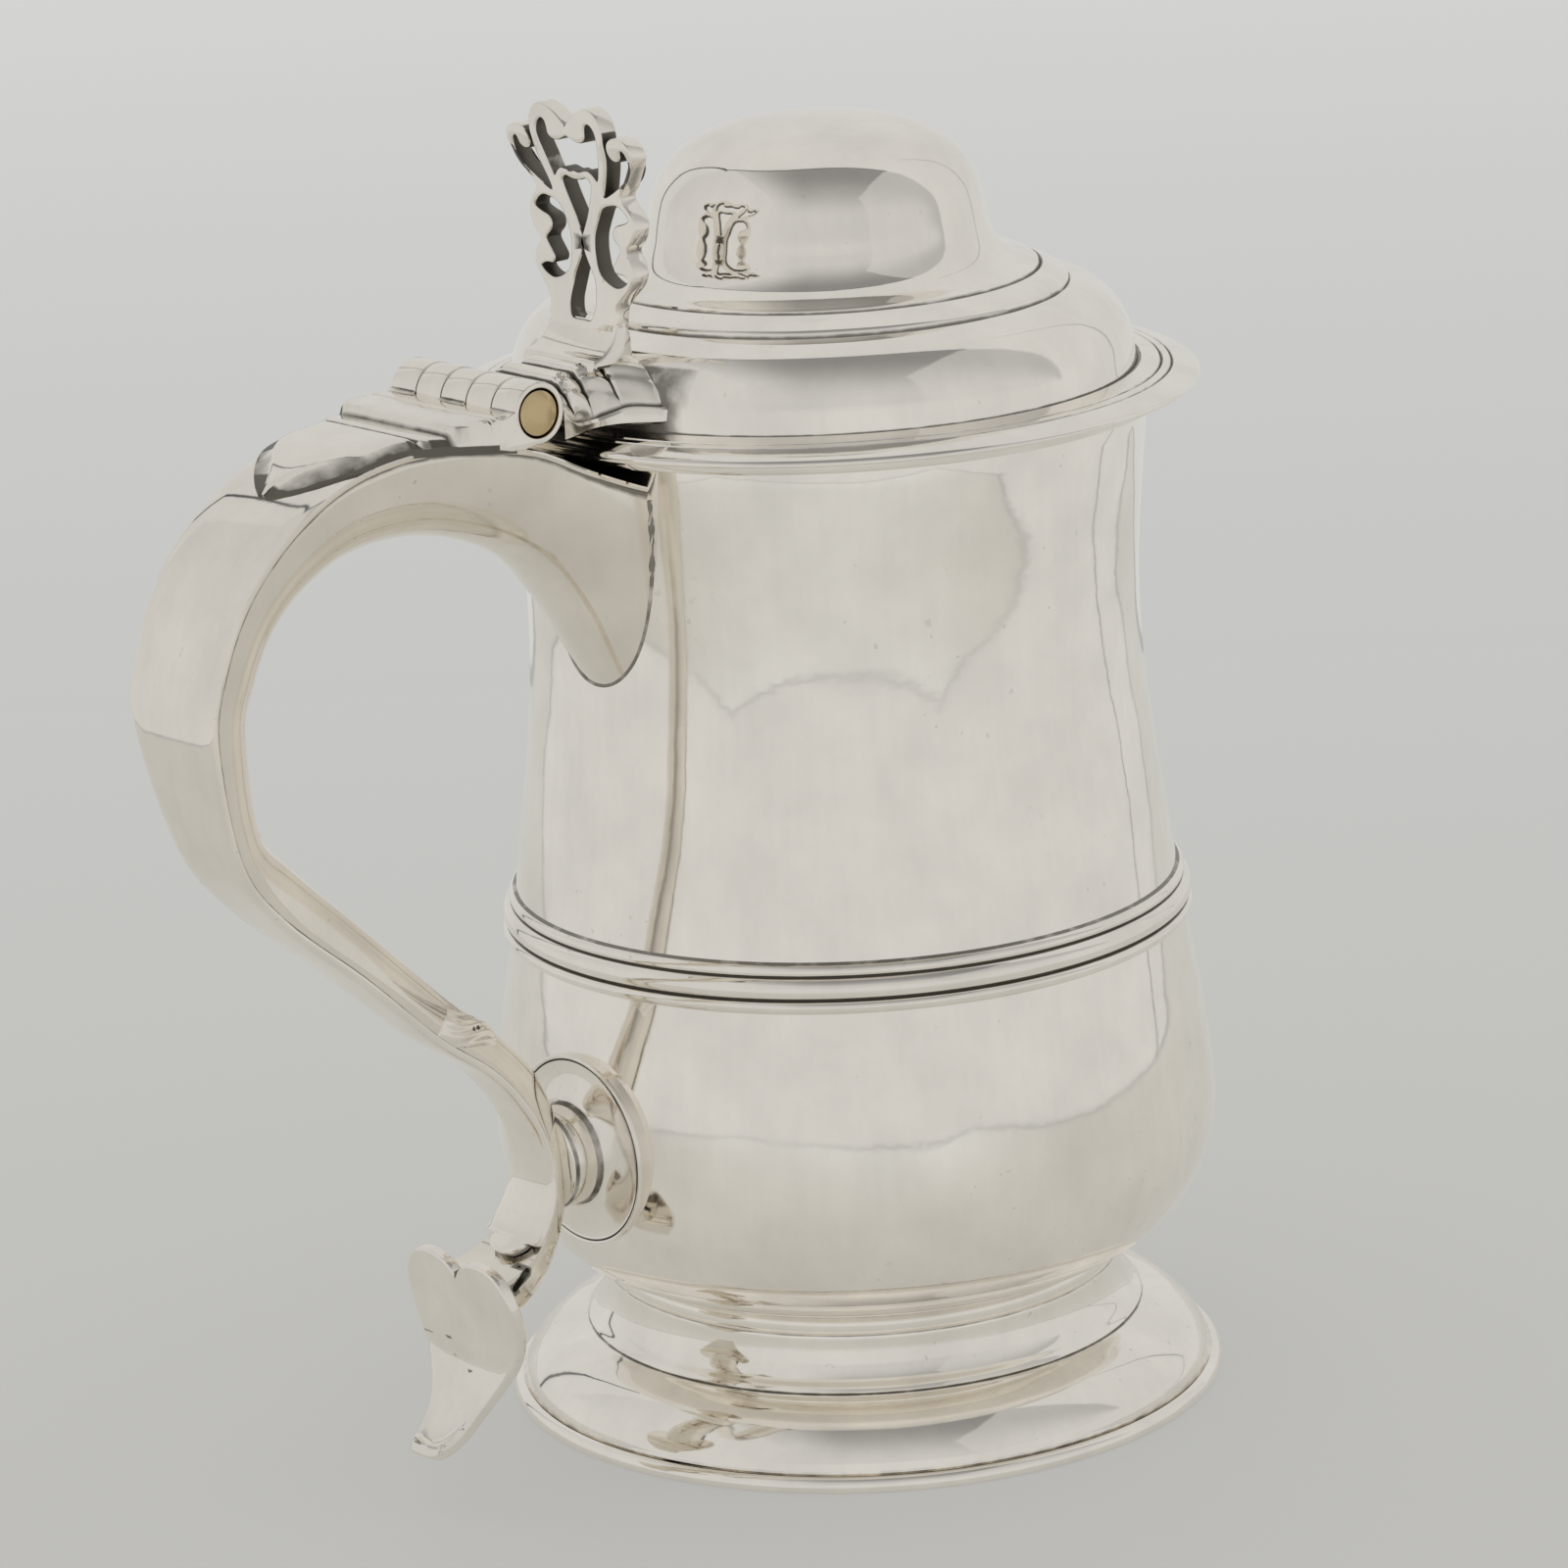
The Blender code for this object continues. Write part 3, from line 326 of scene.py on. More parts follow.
# The foot is a second raised sheet, a hollow neck over a spreading moulding, soldered under the body.
# A thick wire is soldered round its edge to stand on.
line = through(((39.9, 23.3), (40.6, 22.7), (41.15, 21.9), (41.2, 20.9), (40.9, 20.1)), 4)
line += [Vector((40.78, 19.85))]
line += through(((40.9, 19.6), (41.0, 17.6), (41.6, 15.4), (42.7, 13.6), (43.9, 12.5), (44.35, 12.0)), 4)
line += [Vector((44.2, 11.55))]
line += through(((44.6, 11.35), (46.6, 10.6), (49.6, 9.2), (52.4, 6.9), (54.3, 4.4), (54.9, 2.6)), 6)
sheet = through(((40.2, 22.6), (40.4, 19.6), (41.5, 15.4), (44.0, 12.0), (49.6, 9.2), (54.3, 3.0)), 6)
inside = beside(sheet, SHEET)


def foot_joint_shade(vert):
    """Thin painted shade at the foot's two edges, where it is soldered."""
    return 0.2 if vert.co.z < 2.9 or vert.co.z > 22.6 else 0.0


shape = spun([*line, *reversed(inside)], closed=True)
piece("spreading_foot", shape, BRIGHT_SILVER, "vessel", "foot", extra_tarnish_and_shade=foot_joint_shade)
line = through(
    (
        (54.4, 2.5), (55.0, 2.3), (55.5, 2.4), (56.1, 2.2), (56.6, 1.7), (56.85, 1.0), (56.7, 0.35),
        (56.2, 0.0),
    ),
    4,
)
line += [Vector((52.4, 0.0)), Vector((52.4, 2.0))]


def wire_joint_shade(vert):
    """Thin painted shade where the wire is soldered to the foot."""
    return 0.2 if math.hypot(vert.co.x, vert.co.y) < 55.3 else 0.0


piece("foot_wire", spun(line, closed=True), BRIGHT_SILVER, "vessel", "foot_rim", extra_tarnish_and_shade=wire_joint_shade)

# The handle is a broad strap bent to a scroll, with a D-shaped trough soldered behind it so that it is
# hollow. A tab ends the strap over the bare stem, and a slit beside it let the air out in soldering.
# A row is the face's place out from the axis and up, the run to the trough's back, and half the width.
HANDLE_ROWS = (
    (43.0, 154.5, 0.0, -40.4, 13.9), (49.0, 156.5, 1.0, -29.6, 14.8), (58.0, 160.35, -2.5, -24.3, 14.4),
    (67.6, 164.95, -4.6, -20.3, 13.4), (79.0, 167.15, -7.0, -17.3, 12.2), (90.0, 167.85, -6.6, -15.0, 11.8),
    (101.3, 165.78, -5.9, -13.5, 11.7), (111.5, 160.0, -7.2, -11.5, 11.4), (119.8, 151.6, -9.6, -8.2, 11.1),
    (124.7, 141.5, -11.1, -4.4, 10.6), (126.4, 131.0, -11.0, -0.5, 9.9), (122.0, 111.8, -8.3, 3.5, 7.6),
    (113.9, 100.65, -6.7, 6.4, 6.2), (99.4, 88.1, -5.5, 6.0, 5.5), (85.9, 75.5, -5.3, 5.5, 4.7),
    (76.0, 68.0, -5.0, 4.7, 4.3), (70.1, 61.1, -6.1, 3.2, 4.4), (66.4, 53.4, -5.4, 0.8, 5.0),
    (66.8, 46.0, -5.4, -1.5, 5.9), (70.9, 40.2, -6.4, -4.7, 6.6), (75.7, 38.0, -5.8, -8.5, 7.3),
    (79.9, 37.6, -2.0, -12.1, 8.0),
)
ROW_STEPS = 6
HANDLE_RUN = through(HANDLE_ROWS, ROW_STEPS)
STRAP = 1.4
TROUGH_INSET = 0.5


def on_handle(section, side, depth):
    """The place on a section of the handle, to one side and behind the strap's face."""
    out, up, back_out, back_up, _ = section
    inward = Vector((back_out, back_up)).normalized()
    return Vector((-out - inward.x * depth, side, up + inward.y * depth))


def skinned(rings):
    """A closed skin over rings of equally many points."""
    shape = bmesh.new()
    loops = []
    for ring in rings:
        dots = [shape.verts.new(point) for point in ring]
        loops.append([shape.edges.new(pair) for pair in zip(dots, dots[1:] + dots[:1])])
    for here, after in zip(loops, loops[1:]):
        bmesh.ops.bridge_loops(shape, edges=here + after)
    for end in (loops[0], loops[-1]):
        bmesh.ops.edgeloop_fill(shape, edges=end)
    bmesh.ops.recalc_face_normals(shape, faces=shape.faces)
    return shape


def strap_ring(section, half):
    """A ring round the strap, from its crowned face to its flat back."""
    crown = ((1.0, 0.75), (0.985, 0.42), (0.93, 0.2), (0.72, 0.1), (0.4, 0.03), (0.0, 0.0))
    ring = [on_handle(section, share * half, depth) for share, depth in crown]
    ring += [on_handle(section, -share * half, depth) for share, depth in reversed(crown[:-1])]
    return ring + [on_handle(section, -0.97 * half, STRAP), on_handle(section, 0.97 * half, STRAP)]


TROUGH_TURNS = (-90.0, -87.0, *[7.5 * step for step in range(-11, 12)], 87.0, 90.0)


def on_trough(section, turn):
    """The place on the trough's back, from -90 at one edge of the strap to 90 at the other."""
    angle = math.radians(turn)
    depth = math.hypot(section[2], section[3]) - STRAP
    side = (section[4] - TROUGH_INSET) * math.sin(angle)
    return on_handle(section, side, STRAP + depth * math.cos(angle))


def trough_ring(section):
    """A ring round the trough, closed by a flat against the strap."""
    half = section[4] - TROUGH_INSET
    ring = [on_trough(section, turn) for turn in TROUGH_TURNS]
    return ring + [on_handle(section, 0.5 * half, STRAP), on_handle(section, -0.5 * half, STRAP)]


def cut_away(obj, shape):
    """Cuts a shape out of a piece."""
    mesh = bpy.data.meshes.new("cutter")
    set_down(shape)
    shape.to_mesh(mesh)
    shape.free()
    cutter = bpy.data.objects.new("cutter", mesh)
    bpy.context.scene.collection.objects.link(cutter)
    boolean = obj.modifiers.new("cut", "BOOLEAN")
    boolean.operation = "DIFFERENCE"
    boolean.object = cutter
    graph = bpy.context.evaluated_depsgraph_get()
    trimmed = bpy.data.meshes.new_from_object(obj.evaluated_get(graph))
    obj.modifiers.clear()
    obj.data = trimmed
    bpy.data.objects.remove(cutter)


def cut_to_body(obj):
    """Trims a handle piece to the body's curve, so that it ends inside the wall."""
    sunk = 0.4
    cut_away(obj, spun([(0, 200), *[(point.x - sunk, point.y) for point in outer], (0, 22)], steps=96))


HANDLE_SILVER = silver("handle_silver", (0.93, 0.89, 0.828), Wave=0.3)
TROUGH_SILVER = silver("trough_silver", (0.87, 0.825, 0.745), Wave=0.3, Dullness=0.12)
ROOT_ROWS = 18
ROOT_NARROWS = 0.45
TAB_ROW = 113
TAB_LENGTH = 3.6
TAB_STEPS = (
    (0.0, 1.0), (0.5, 0.98), (0.9, 0.82), (1.1, 0.64), (1.7, 0.6), (2.5, 0.5), (3.2, 0.36),
    (TAB_LENGTH, 0.1),
)
rings = []
for step, section in enumerate(HANDLE_RUN[:TAB_ROW]):
    rings.append(strap_ring(section, section[4] - ROOT_NARROWS * max(0.0, 1 - step / ROOT_ROWS)))
for reach, share in TAB_STEPS:
    section = HANDLE_RUN[TAB_ROW].lerp(HANDLE_RUN[TAB_ROW + 4], reach / TAB_LENGTH)
    rings.append(strap_ring(section, section[4] * share))
strap_points = len(rings[0])


def tab_joint_shade(vert):
    """Painted shade along the sides and back of the tab, where solder holds it down."""
    row, place = divmod(vert.index, strap_points)
    return 0.5 if row >= TAB_ROW + 2 and (place == 0 or place >= strap_points - 3) else 0.0


strap = piece("handle_strap_front", skinned(rings), HANDLE_SILVER, "vessel", "handle_strap", extra_tarnish_and_shade=tab_joint_shade)
cut_to_body(strap)


def strap_edge_shadow(vert):
    """A painted shadow line along the trough's two edges beside the strap, which are the ends of each
    ring's arc.
    """
    row, place = divmod(vert.index, len(TROUGH_TURNS) + 2)
    return 0.75 if row < TAB_ROW and place in (0, len(TROUGH_TURNS) - 1) else 0.0


shape = skinned([trough_ring(section) for section in HANDLE_RUN])
trough = piece(
    "handle_trough_back", shape, TROUGH_SILVER, "vessel", "handle_trough", "handle_stem", extra_tarnish_and_shade=strap_edge_shadow
)
cut_to_body(trough)
VENT_ROW = 120
VENT = Vector((4.4, 1.3, 3.6))
spot = on_trough(HANDLE_RUN[VENT_ROW], -82.0)
along = (on_trough(HANDLE_RUN[VENT_ROW + 3], -76.0) - spot).normalized()
across = on_trough(HANDLE_RUN[VENT_ROW], -78.0) - on_trough(HANDLE_RUN[VENT_ROW], -86.0)
out = along.cross(across).normalized()
turned = Matrix.Translation(spot) @ Matrix((along, out.cross(along), out)).transposed().to_4x4()
shape = bmesh.new()
bmesh.ops.create_cube(shape, size=1.0)
bmesh.ops.scale(shape, vec=VENT, verts=shape.verts)
ends = [edge for edge in shape.edges if abs(edge.verts[0].co.z - edge.verts[1].co.z) > 1]
bmesh.ops.bevel(shape, geom=ends, offset=0.6, segments=4, profile=0.5, affect="EDGES", material=-1)
bmesh.ops.transform(shape, verts=shape.verts, matrix=turned)
cut_away(trough, shape)
# The vent's pit is painted dark inside, as painted shade.
for vert, tarnish_and_shade in zip(trough.data.vertices, trough.data.attributes["tarnish_and_shade"].data):
    inside = turned.inverted() @ ((vert.co - Vector((AXIS, 0, 0))) / MM)
    if all(abs(reach) < size / 2 + 0.1 for reach, size in zip(inside, VENT)):
        tarnish_and_shade.value = 1.0

# A bead of hard solder runs round the joint of the handle's root and the body. It is lumpy and pitted
# above, where it was never cleaned up, and thin below.
BEAD = 0.26
BEAD_POINTS = 8
LUMPS_FROM = 136


def body_radius(height):
    """How far the body's wall is from its axis at a height."""
    after = next(i for i, point in enumerate(outer) if point.y <= height)
    above, below = outer[max(after - 1, 0)], outer[max(after, 1)]
    return above.x + (below.x - above.x) * (above.y - height) / (above.y - below.y)


joint = []
for step in range(89):
    turn = -88.0 + 2.0 * step
    for here, after in zip(HANDLE_RUN, HANDLE_RUN[1:]):
        near, far = on_trough(here, turn), on_trough(after, turn)
        gap = math.hypot(near.x, near.y) - body_radius(near.z)
        wide = math.hypot(far.x, far.y) - body_radius(far.z)
        if gap <= 0 < wide:
            joint.append(near.lerp(far, gap / (gap - wide)))
            break
rings = []
for step, place in enumerate(joint):
    run = (joint[min(step + 1, len(joint) - 1)] - joint[max(step - 1, 0)]).normalized()
    away = Vector((place.x, place.y, 0)).normalized()
    lumps = min(1.0, max(0.0, (place.z - LUMPS_FROM) / 8))
    thick = BEAD + lumps * (0.14 + 0.12 * math.sin(2.3 * step) + 0.1 * math.sin(5.1 * step))
    ring = []
    for turn in range(BEAD_POINTS):
        ring.append(place + (Matrix.Rotation(math.tau * turn / BEAD_POINTS, 3, run) @ away) * thick)
    rings.append(ring)


def solder_pits(vert):
    """Pits scattered along the lumpy stretch, and an even grey below it."""
    step, place = divmod(vert.index, BEAD_POINTS)
    if vert.co.z < LUMPS_FROM + 4:
        return 0.5
    return 0.9 if math.sin(1.9 * step) + math.sin(4.3 * step + place) > -0.2 else 0.1


piece("handle_solder_bead", skinned(rings), HANDLE_SILVER, "vessel", extra_tarnish_and_shade=solder_pits)

# The collar is a cast sleeve of leaf-like folds, soldered round the trough where the handle narrows. It is
# painted darker between its folds, as older tarnish and as painted shade.
CAST_SILVER = silver("cast_silver", (0.93, 0.89, 0.825), Wave=0.5, Dullness=0.16, Soil=0.95)
COLLAR_START = 13.95
COLLAR_ROWS = 0.95
rings = []
for step in range(49):
    along = step / 48
    row = (COLLAR_START + COLLAR_ROWS * along) * ROW_STEPS
    section = HANDLE_RUN[int(row)].lerp(HANDLE_RUN[int(row) + 1], row % 1)
    deep = math.hypot(section[2], section[3]) - STRAP
    half = section[4] - TROUGH_INSET
    ring = []
    for turn in range(65):
        angle = math.pi * (turn / 64 - 0.5)
        across = 1 - abs(turn / 32 - 1)
        drift = across - 0.62 * along - 0.16
        swell = max(0.0, 1 - (drift / 0.40) ** 2) * math.sin(math.pi * along) ** 0.6
        fold = math.sin(math.pi * (4.4 * drift + 0.35 * math.sin(6.0 * along))) ** 2
        rise = -0.25 + swell**0.6 * (0.6 + 0.34 * fold)
        depth = STRAP + 0.1 + (deep + rise) * math.cos(angle)
        ring.append(on_handle(section, (half + rise) * math.sin(angle), depth))
    rings.append(ring)
piece("handle_collar_leaves", skinned(rings), CAST_SILVER, "vessel", "handle_collar", reach=0.6)

# The boss is a dished disc of silver with a wired edge, soldered to the belly. Its stout neck is soldered
# into the back of the handle.
BOSS_HEIGHT = 50.7
neck = through(
    ((0.0, 63.4), (6.0, 63.4), (7.3, 63.3), (7.7, 62.9), (7.8, 61.8), (7.8, 60.2), (7.8, 59.0)), 3
)
dish = through(
    ((8.0, 58.4), (8.6, 57.7), (9.6, 57.1), (11.0, 56.65), (12.6, 56.4), (13.8, 56.45), (14.2, 56.6)), 4
)
wire = through(((14.3, 56.4), (14.5, 56.7), (14.8, 56.8), (15.05, 56.6), (15.1, 56.2), (15.05, 55.7)), 4)
shape = spun([*neck, *dish, *wire, (15.0, 53.6), (0.0, 53.6)], steps=96)
outward = Matrix.Rotation(math.radians(-90), 3, "Y")
bmesh.ops.rotate(shape, verts=shape.verts, cent=(0, 0, 0), matrix=outward)
bmesh.ops.translate(shape, vec=(0, 0, BOSS_HEIGHT), verts=shape.verts)


def boss_neck_shade(vert):
    """Painted shade round the neck's two ends, where it is soldered."""
    return 0.42 if 58.2 < -vert.co.x < 59.3 or 62.6 < -vert.co.x < 63.2 else 0.0


boss = piece("handle_boss_trumpet", shape, CAST_SILVER, "vessel", "handle_boss", extra_tarnish_and_shade=boss_neck_shade)
cut_to_body(boss)

# The heart is cut from thick sheet, with a round foot to its notch and a turned-up tail, and soldered on
# the end of the stem. Its tail is hollowed like a spoon.
HEART_LINE = through(
    ((81.2, 44.55), (79.9, 37.55), (77.9, 25.45), (80.2, 17.9), (84.4, 12.3), (88.6, 9.9), (92.3, 11.3)), 20
)
HEART_HALF = (
    (0.0, -7.6), (0.9, -6.4), (2.2, -5.4), (4.2, -4.7), (6.3, -4.5), (8.6, -4.9), (10.8, -6.5),
    (12.3, -9.0), (12.9, -12.0), (12.8, -15.0), (12.1, -18.0), (10.9, -20.8), (9.0, -24.2), (7.2, -27.6),
    (5.9, -30.6), (5.1, -33.6), (4.6, -36.0), (4.0, -38.2), (3.1, -40.3), (1.8, -41.9), (0.0, -42.4),
)
HEART_THICK = 2.0
SPOON_START = 19.5
SPOON_RUN = 4
SPOON_DEPTH = 0.9


def plate(outlines, thick, edge):
    """A flat casting with rounded edges, cut to its outlines: the outside and any holes."""
    curve = bpy.data.curves.new("outline", "CURVE")
    curve.dimensions = "2D"
    curve.fill_mode = "BOTH"
    curve.extrude = thick / 2 - edge
    curve.bevel_depth = edge
    curve.bevel_resolution = 2
    curve.offset = -edge
    for outline in outlines:
        spline = curve.splines.new("POLY")
        spline.points.add(len(outline) - 1)
        for point, place in zip(spline.points, outline):
            point.co = (place[0], place[1], 0, 1)
        spline.use_cyclic_u = True
    cut = bpy.data.objects.new("outline", curve)
    bpy.context.scene.collection.objects.link(cut)
    mesh = bpy.data.meshes.new_from_object(cut.evaluated_get(bpy.context.evaluated_depsgraph_get()))
    bpy.data.objects.remove(cut)
    shape = bmesh.new()
    shape.from_mesh(mesh)
    bpy.data.meshes.remove(mesh)
    bmesh.ops.remove_doubles(shape, verts=shape.verts, dist=0.002)
    bmesh.ops.recalc_face_normals(shape, faces=shape.faces)
    return shape


def both_sides(half):
    """An outline made whole from its right half."""
    half = [(point[0], point[1]) for point in half]
    return half + [(-x, y) for x, y in reversed(half) if x > 0.01]


def sliced(shape, axis, low, high, count):
    """Cuts a flat shape across, so that it can be bent."""
    for step in range(1, count):
        cut = axis * (low + (high - low) * step / count)
        everything = shape.verts[:] + shape.edges[:] + shape.faces[:]
        bmesh.ops.bisect_plane(shape, geom=everything, plane_co=cut, plane_no=axis, dist=0.001)


def along_line(line, place):
    """The second number of a line of falling places, where its first is the place."""
    after = next((i for i, point in enumerate(line) if point.x <= place), len(line) - 1)
    one, two = line[max(after - 1, 0)], line[after]
    return one.lerp(two, (one.x - place) / (one.x - two.x)).y if one.x != two.x else two.y


shape = plate([both_sides(through(HEART_HALF, 4))], HEART_THICK, 0.45)
sliced(shape, Vector((0, 1, 0)), -42.4, -4.5, 76)
sliced(shape, Vector((1, 0, 0)), -13.0, 13.0, 40)
heart_edge = [Vector((point[1], point[0])) for point in through(HEART_HALF[4:], 4)]
for vert in shape.verts:
    reach = min(max((-vert.co.y - SPOON_START) / SPOON_RUN, 0.0), 1.0)
    across = vert.co.x / max(along_line(heart_edge, vert.co.y) - 0.8, 0.3)
    if vert.co.z > 0.9:
        vert.co.z -= SPOON_DEPTH * reach * reach * (3 - 2 * reach) * max(0.0, 1 - across * across)
run = [0.0]
for here, after in zip(HEART_LINE, HEART_LINE[1:]):
    run.append(run[-1] + (after - here).length)
for vert in shape.verts:
    reach = min(max(-vert.co.y, 0.0), run[-1] - 0.01)
    index = max(i for i in range(len(run) - 1) if run[i] <= reach)
    here, after = HEART_LINE[index], HEART_LINE[index + 1]
    along = (after - here).normalized()
    spot = here.lerp(after, (reach - run[index]) / (run[index + 1] - run[index]))
    spot += Vector((-along.y, along.x)) * (HEART_THICK / 2 + vert.co.z)
    vert.co = (-spot.x, vert.co.x, spot.y)
piece("handle_heart_plate", shape, HANDLE_SILVER, "vessel", "handle_heart")

# The lid is raised in one sheet, a dome over a rounded tier with a broad flat flange, two turned lines
# on the flange. A ring soldered below rests on the lip and a bezel inside keeps the lid centred.
dome = through(
    (
        (0.0, 203.4), (8.0, 202.9), (15.3, 201.3), (21.0, 198.2), (24.4, 193.9), (25.8, 189.2),
        (26.6, 184.9), (28.2, 182.2), (30.6, 180.5), (33.5, 179.5),
    ),
    5,
)
dome_groove = ((33.75, 179.4), (34.0, 178.75), (34.3, 179.0))
ring = through(((34.5, 178.95), (35.2, 178.6), (36.8, 177.95), (38.1, 177.1)), 4)
ring_groove = ((38.25, 176.9), (38.35, 176.2), (38.7, 176.3))
tier = through(
    ((39.0, 176.25), (41.2, 175.6), (43.9, 174.2), (46.2, 171.6), (47.7, 168.2), (48.3, 164.0)), 5
)
flange = (
    (48.4, 163.5), (48.75, 163.75), (49.2, 163.75), (51.8, 163.38), (52.1, 162.9), (52.4, 163.28),
    (53.4, 163.12), (53.7, 162.65), (54.0, 163.0), (56.6, 162.35),
)
flange_edge = through(((57.4, 162.1), (57.9, 161.7), (58.0, 161.35), (57.75, 161.0), (57.2, 160.9)), 3)
line = [*dome, *dome_groove, *ring, *ring_groove, *tier, *flange, *flange_edge]
under = [Vector((47.1, 162.7)), *reversed(beside(dome + ring + tier, SHEET)[1:])]


def leaf_corner_darkening(vert):
    """Darker at the corner where the leaf meets the tier."""
    if vert.co.x > -38 or not 163.6 < vert.co.z < 173.0:
        return 0.0
    return 0.5 * max(0.0, 1 - max(0.0, abs(vert.co.y) - 16.0) / 5.0)


piece("domed_lid", spun([*line, *under, (0, 202.2)]), BRIGHT_SILVER, "lid", "lid_cover", extra_tarnish_and_shade=leaf_corner_darkening)
line = [(48.9, 162.05), (54.7, 161.05), (54.75, 160.4), (54.5, 159.7), (53.9, 159.1), (48.9, 159.1)]
piece("lid_rim_ring", spun(line, closed=True), BRIGHT_SILVER, "lid", "lid_rim")
line = [
    (46.2, 166.9), (46.75, 163.9), (46.8, 155.2), (46.6, 154.5), (46.2, 154.2), (45.85, 154.4),
    (45.8, 163.9), (45.3, 166.9),
]
piece("lid_bezel_ring", spun(line, closed=True), BRIGHT_SILVER, "lid", "lid_bezel")

# The lid's hinge leaf is a casting: a waisted blade that spreads to two tips on the lid, with rolls across
# it that step up under the thumbpiece. It is painted darker between the rolls and on its sides, as tarnish
# and as painted shade.
# A roll is where it starts and ends, and the heights of its foot and its top.
BLADE_HALF = through(
    (
        (62.6, 14.3), (60.0, 13.5), (57.0, 12.2), (54.0, 11.6), (51.0, 12.2), (48.5, 13.8),
        (46.5, 15.8), (45.0, 16.8), (43.5, 14.0), (42.5, 12.0),
    ),
    4,
)
BLADE_RIM = through(
    (
        (62.6, 170.2), (61.2, 168.6), (59.6, 167.4), (57.9, 166.9), (55.5, 166.7), (53.5, 166.8),
        (51.0, 167.3), (48.9, 167.9), (45.5, 167.6), (42.0, 167.4),
    ),
    4,
)
ROLLS = (
    (62.6, 58.3, 171.4, 172.7), (58.3, 54.1, 171.9, 173.4), (54.1, 49.8, 172.5, 174.0),
    (49.8, 42.0, 173.4, 174.6),
)


def roll_height(place):
    """How high the rolls stand at a place along the blade."""
    for start, end, foot, top in ROLLS:
        if end <= place <= start:
            across = (place - (start + end) / 2) / ((start - end) / 2)
            return foot + (top - foot) * math.sqrt(max(0.0, 1 - across**2))
    return ROLLS[0][2]


def blade_ring(place):
    """A ring across the blade: its rim, the reeded slope up to the rolls, and their flat top."""
    half = along_line(BLADE_HALF, place)
    rim = along_line(BLADE_RIM, place)
    top = roll_height(place)
    crown = [(half - 0.5, 165.1), (half, 165.5), (half, rim - 0.4), (half - 0.4, rim)]
    for step in range(25):
        slope = 1 - step / 24
        reed = abs(math.sin(math.pi * (3.3 * slope - 0.13 * (62.6 - place))))
        slope_height = (top - rim) * math.cos(slope * math.pi / 2) ** 0.8
        ripple = 0.42 * (reed - 0.5) * math.sin(math.pi * slope)
        crown.append(((half - 0.9) * (0.46 + 0.54 * slope), rim + slope_height + ripple))
    crown += [(half * 0.25, top), (0.0, top)]
    ring = [Vector((-place, across, height)) for across, height in crown]
    return ring + [Vector((-place, -across, height)) for across, height in reversed(crown[:-1])]


places = set()
for start, end, _, _ in ROLLS:
    for step in range(13):
        share = (1 - math.cos(math.pi * step / 12)) / 2
        places.add(round(start + (end - start) * share, 3))
rings = [blade_ring(place) for place in sorted(places, reverse=True)]
piece("lid_leaf_casting", skinned(rings), CAST_SILVER, "lid", "lid_leaf")

# The thumbpiece is cast and pierced: paired scrolls that open to a heart-shaped window above and curl over
# at the top, on a low plinth. The holes were never polished inside, and their walls are painted dark as
# that tarnish and as painted shade.
# LEAN gives how far the plate leans towards the dome at each height above the plinth.
PLINTH = 174.7
PLINTH_TOP = 180
PLINTH_WIDTH = 15.6
PLINTH_FLARE = 0.015
THUMB_OUT = 45.5
THUMB_THICK = 3.2
OUTSIDE = (
    (7.0, -1.2), (7.0, 0.0), (7.3, 2.3), (7.6, 4.8), (7.7, 6.7), (9.0, 8.4), (10.8, 10.2), (11.6, 11.8),
    (11.3, 13.6), (10.2, 15.5), (11.3, 16.8), (12.2, 18.4), (12.4, 19.9), (11.7, 21.4), (10.2, 22.9),
    (10.2, 24.1), (11.4, 25.4), (12.9, 27.3), (14.2, 29.3), (14.6, 30.8), (14.2, 32.1), (12.9, 32.9),
    (11.3, 33.1), (10.0, 32.7), (9.2, 31.7), (9.1, 30.5), (9.8, 29.5), (10.9, 29.3), (11.8, 29.9),
    (12.1, 30.9), (12.6, 31.2), (13.2, 30.6), (13.4, 29.3), (12.9, 27.9), (11.7, 26.5), (9.7, 25.2),
    (7.6, 24.0), (6.2, 23.5), (6.7, 25.0), (7.4, 26.6), (8.0, 28.2), (8.4, 29.9), (8.5, 31.5),
    (8.6, 33.2), (8.2, 35.0), (7.0, 36.4), (5.4, 36.95), (3.9, 36.6), (2.3, 35.8), (0.9, 34.7),
    (0.0, 33.8),
)
WINDOW = (
    (0.0, 27.0), (1.2, 26.8), (2.8, 27.2), (4.0, 26.7), (4.9, 25.8), (5.4, 26.3), (6.0, 28.0),
    (6.5, 29.6), (6.9, 31.2), (7.0, 32.6), (6.5, 33.9), (5.6, 34.5), (4.8, 34.2), (4.5, 33.3),
    (4.3, 32.2), (3.3, 31.5), (2.1, 31.5), (1.0, 31.9), (0.0, 32.3),
)
DROP = (
    (0.0, 17.2), (0.9, 19.0), (2.0, 21.4), (3.0, 23.8), (3.3, 25.2), (2.4, 25.9), (1.0, 25.6), (0.0, 25.5),
)
FOOT_SLOT = (
    (0.0, 4.4), (2.1, 4.5), (2.9, 6.0), (2.95, 7.7), (2.3, 10.6), (1.2, 12.6), (0.3, 14.3), (0.0, 15.4),
)
KIDNEY = (
    (6.4, 22.0), (8.6, 22.3), (10.2, 21.5), (10.9, 20.4), (9.5, 19.7), (7.9, 19.2), (7.2, 18.2),
    (7.5, 17.0), (8.7, 15.7), (7.7, 14.2), (6.9, 13.0), (7.4, 12.0), (9.0, 11.9), (10.2, 11.3),
    (9.0, 10.3), (7.2, 9.9), (5.0, 10.6), (3.4, 12.0), (2.8, 14.5), (2.8, 16.5), (3.2, 18.0),
    (4.3, 20.2), (5.2, 21.4), (6.4, 22.0),
)
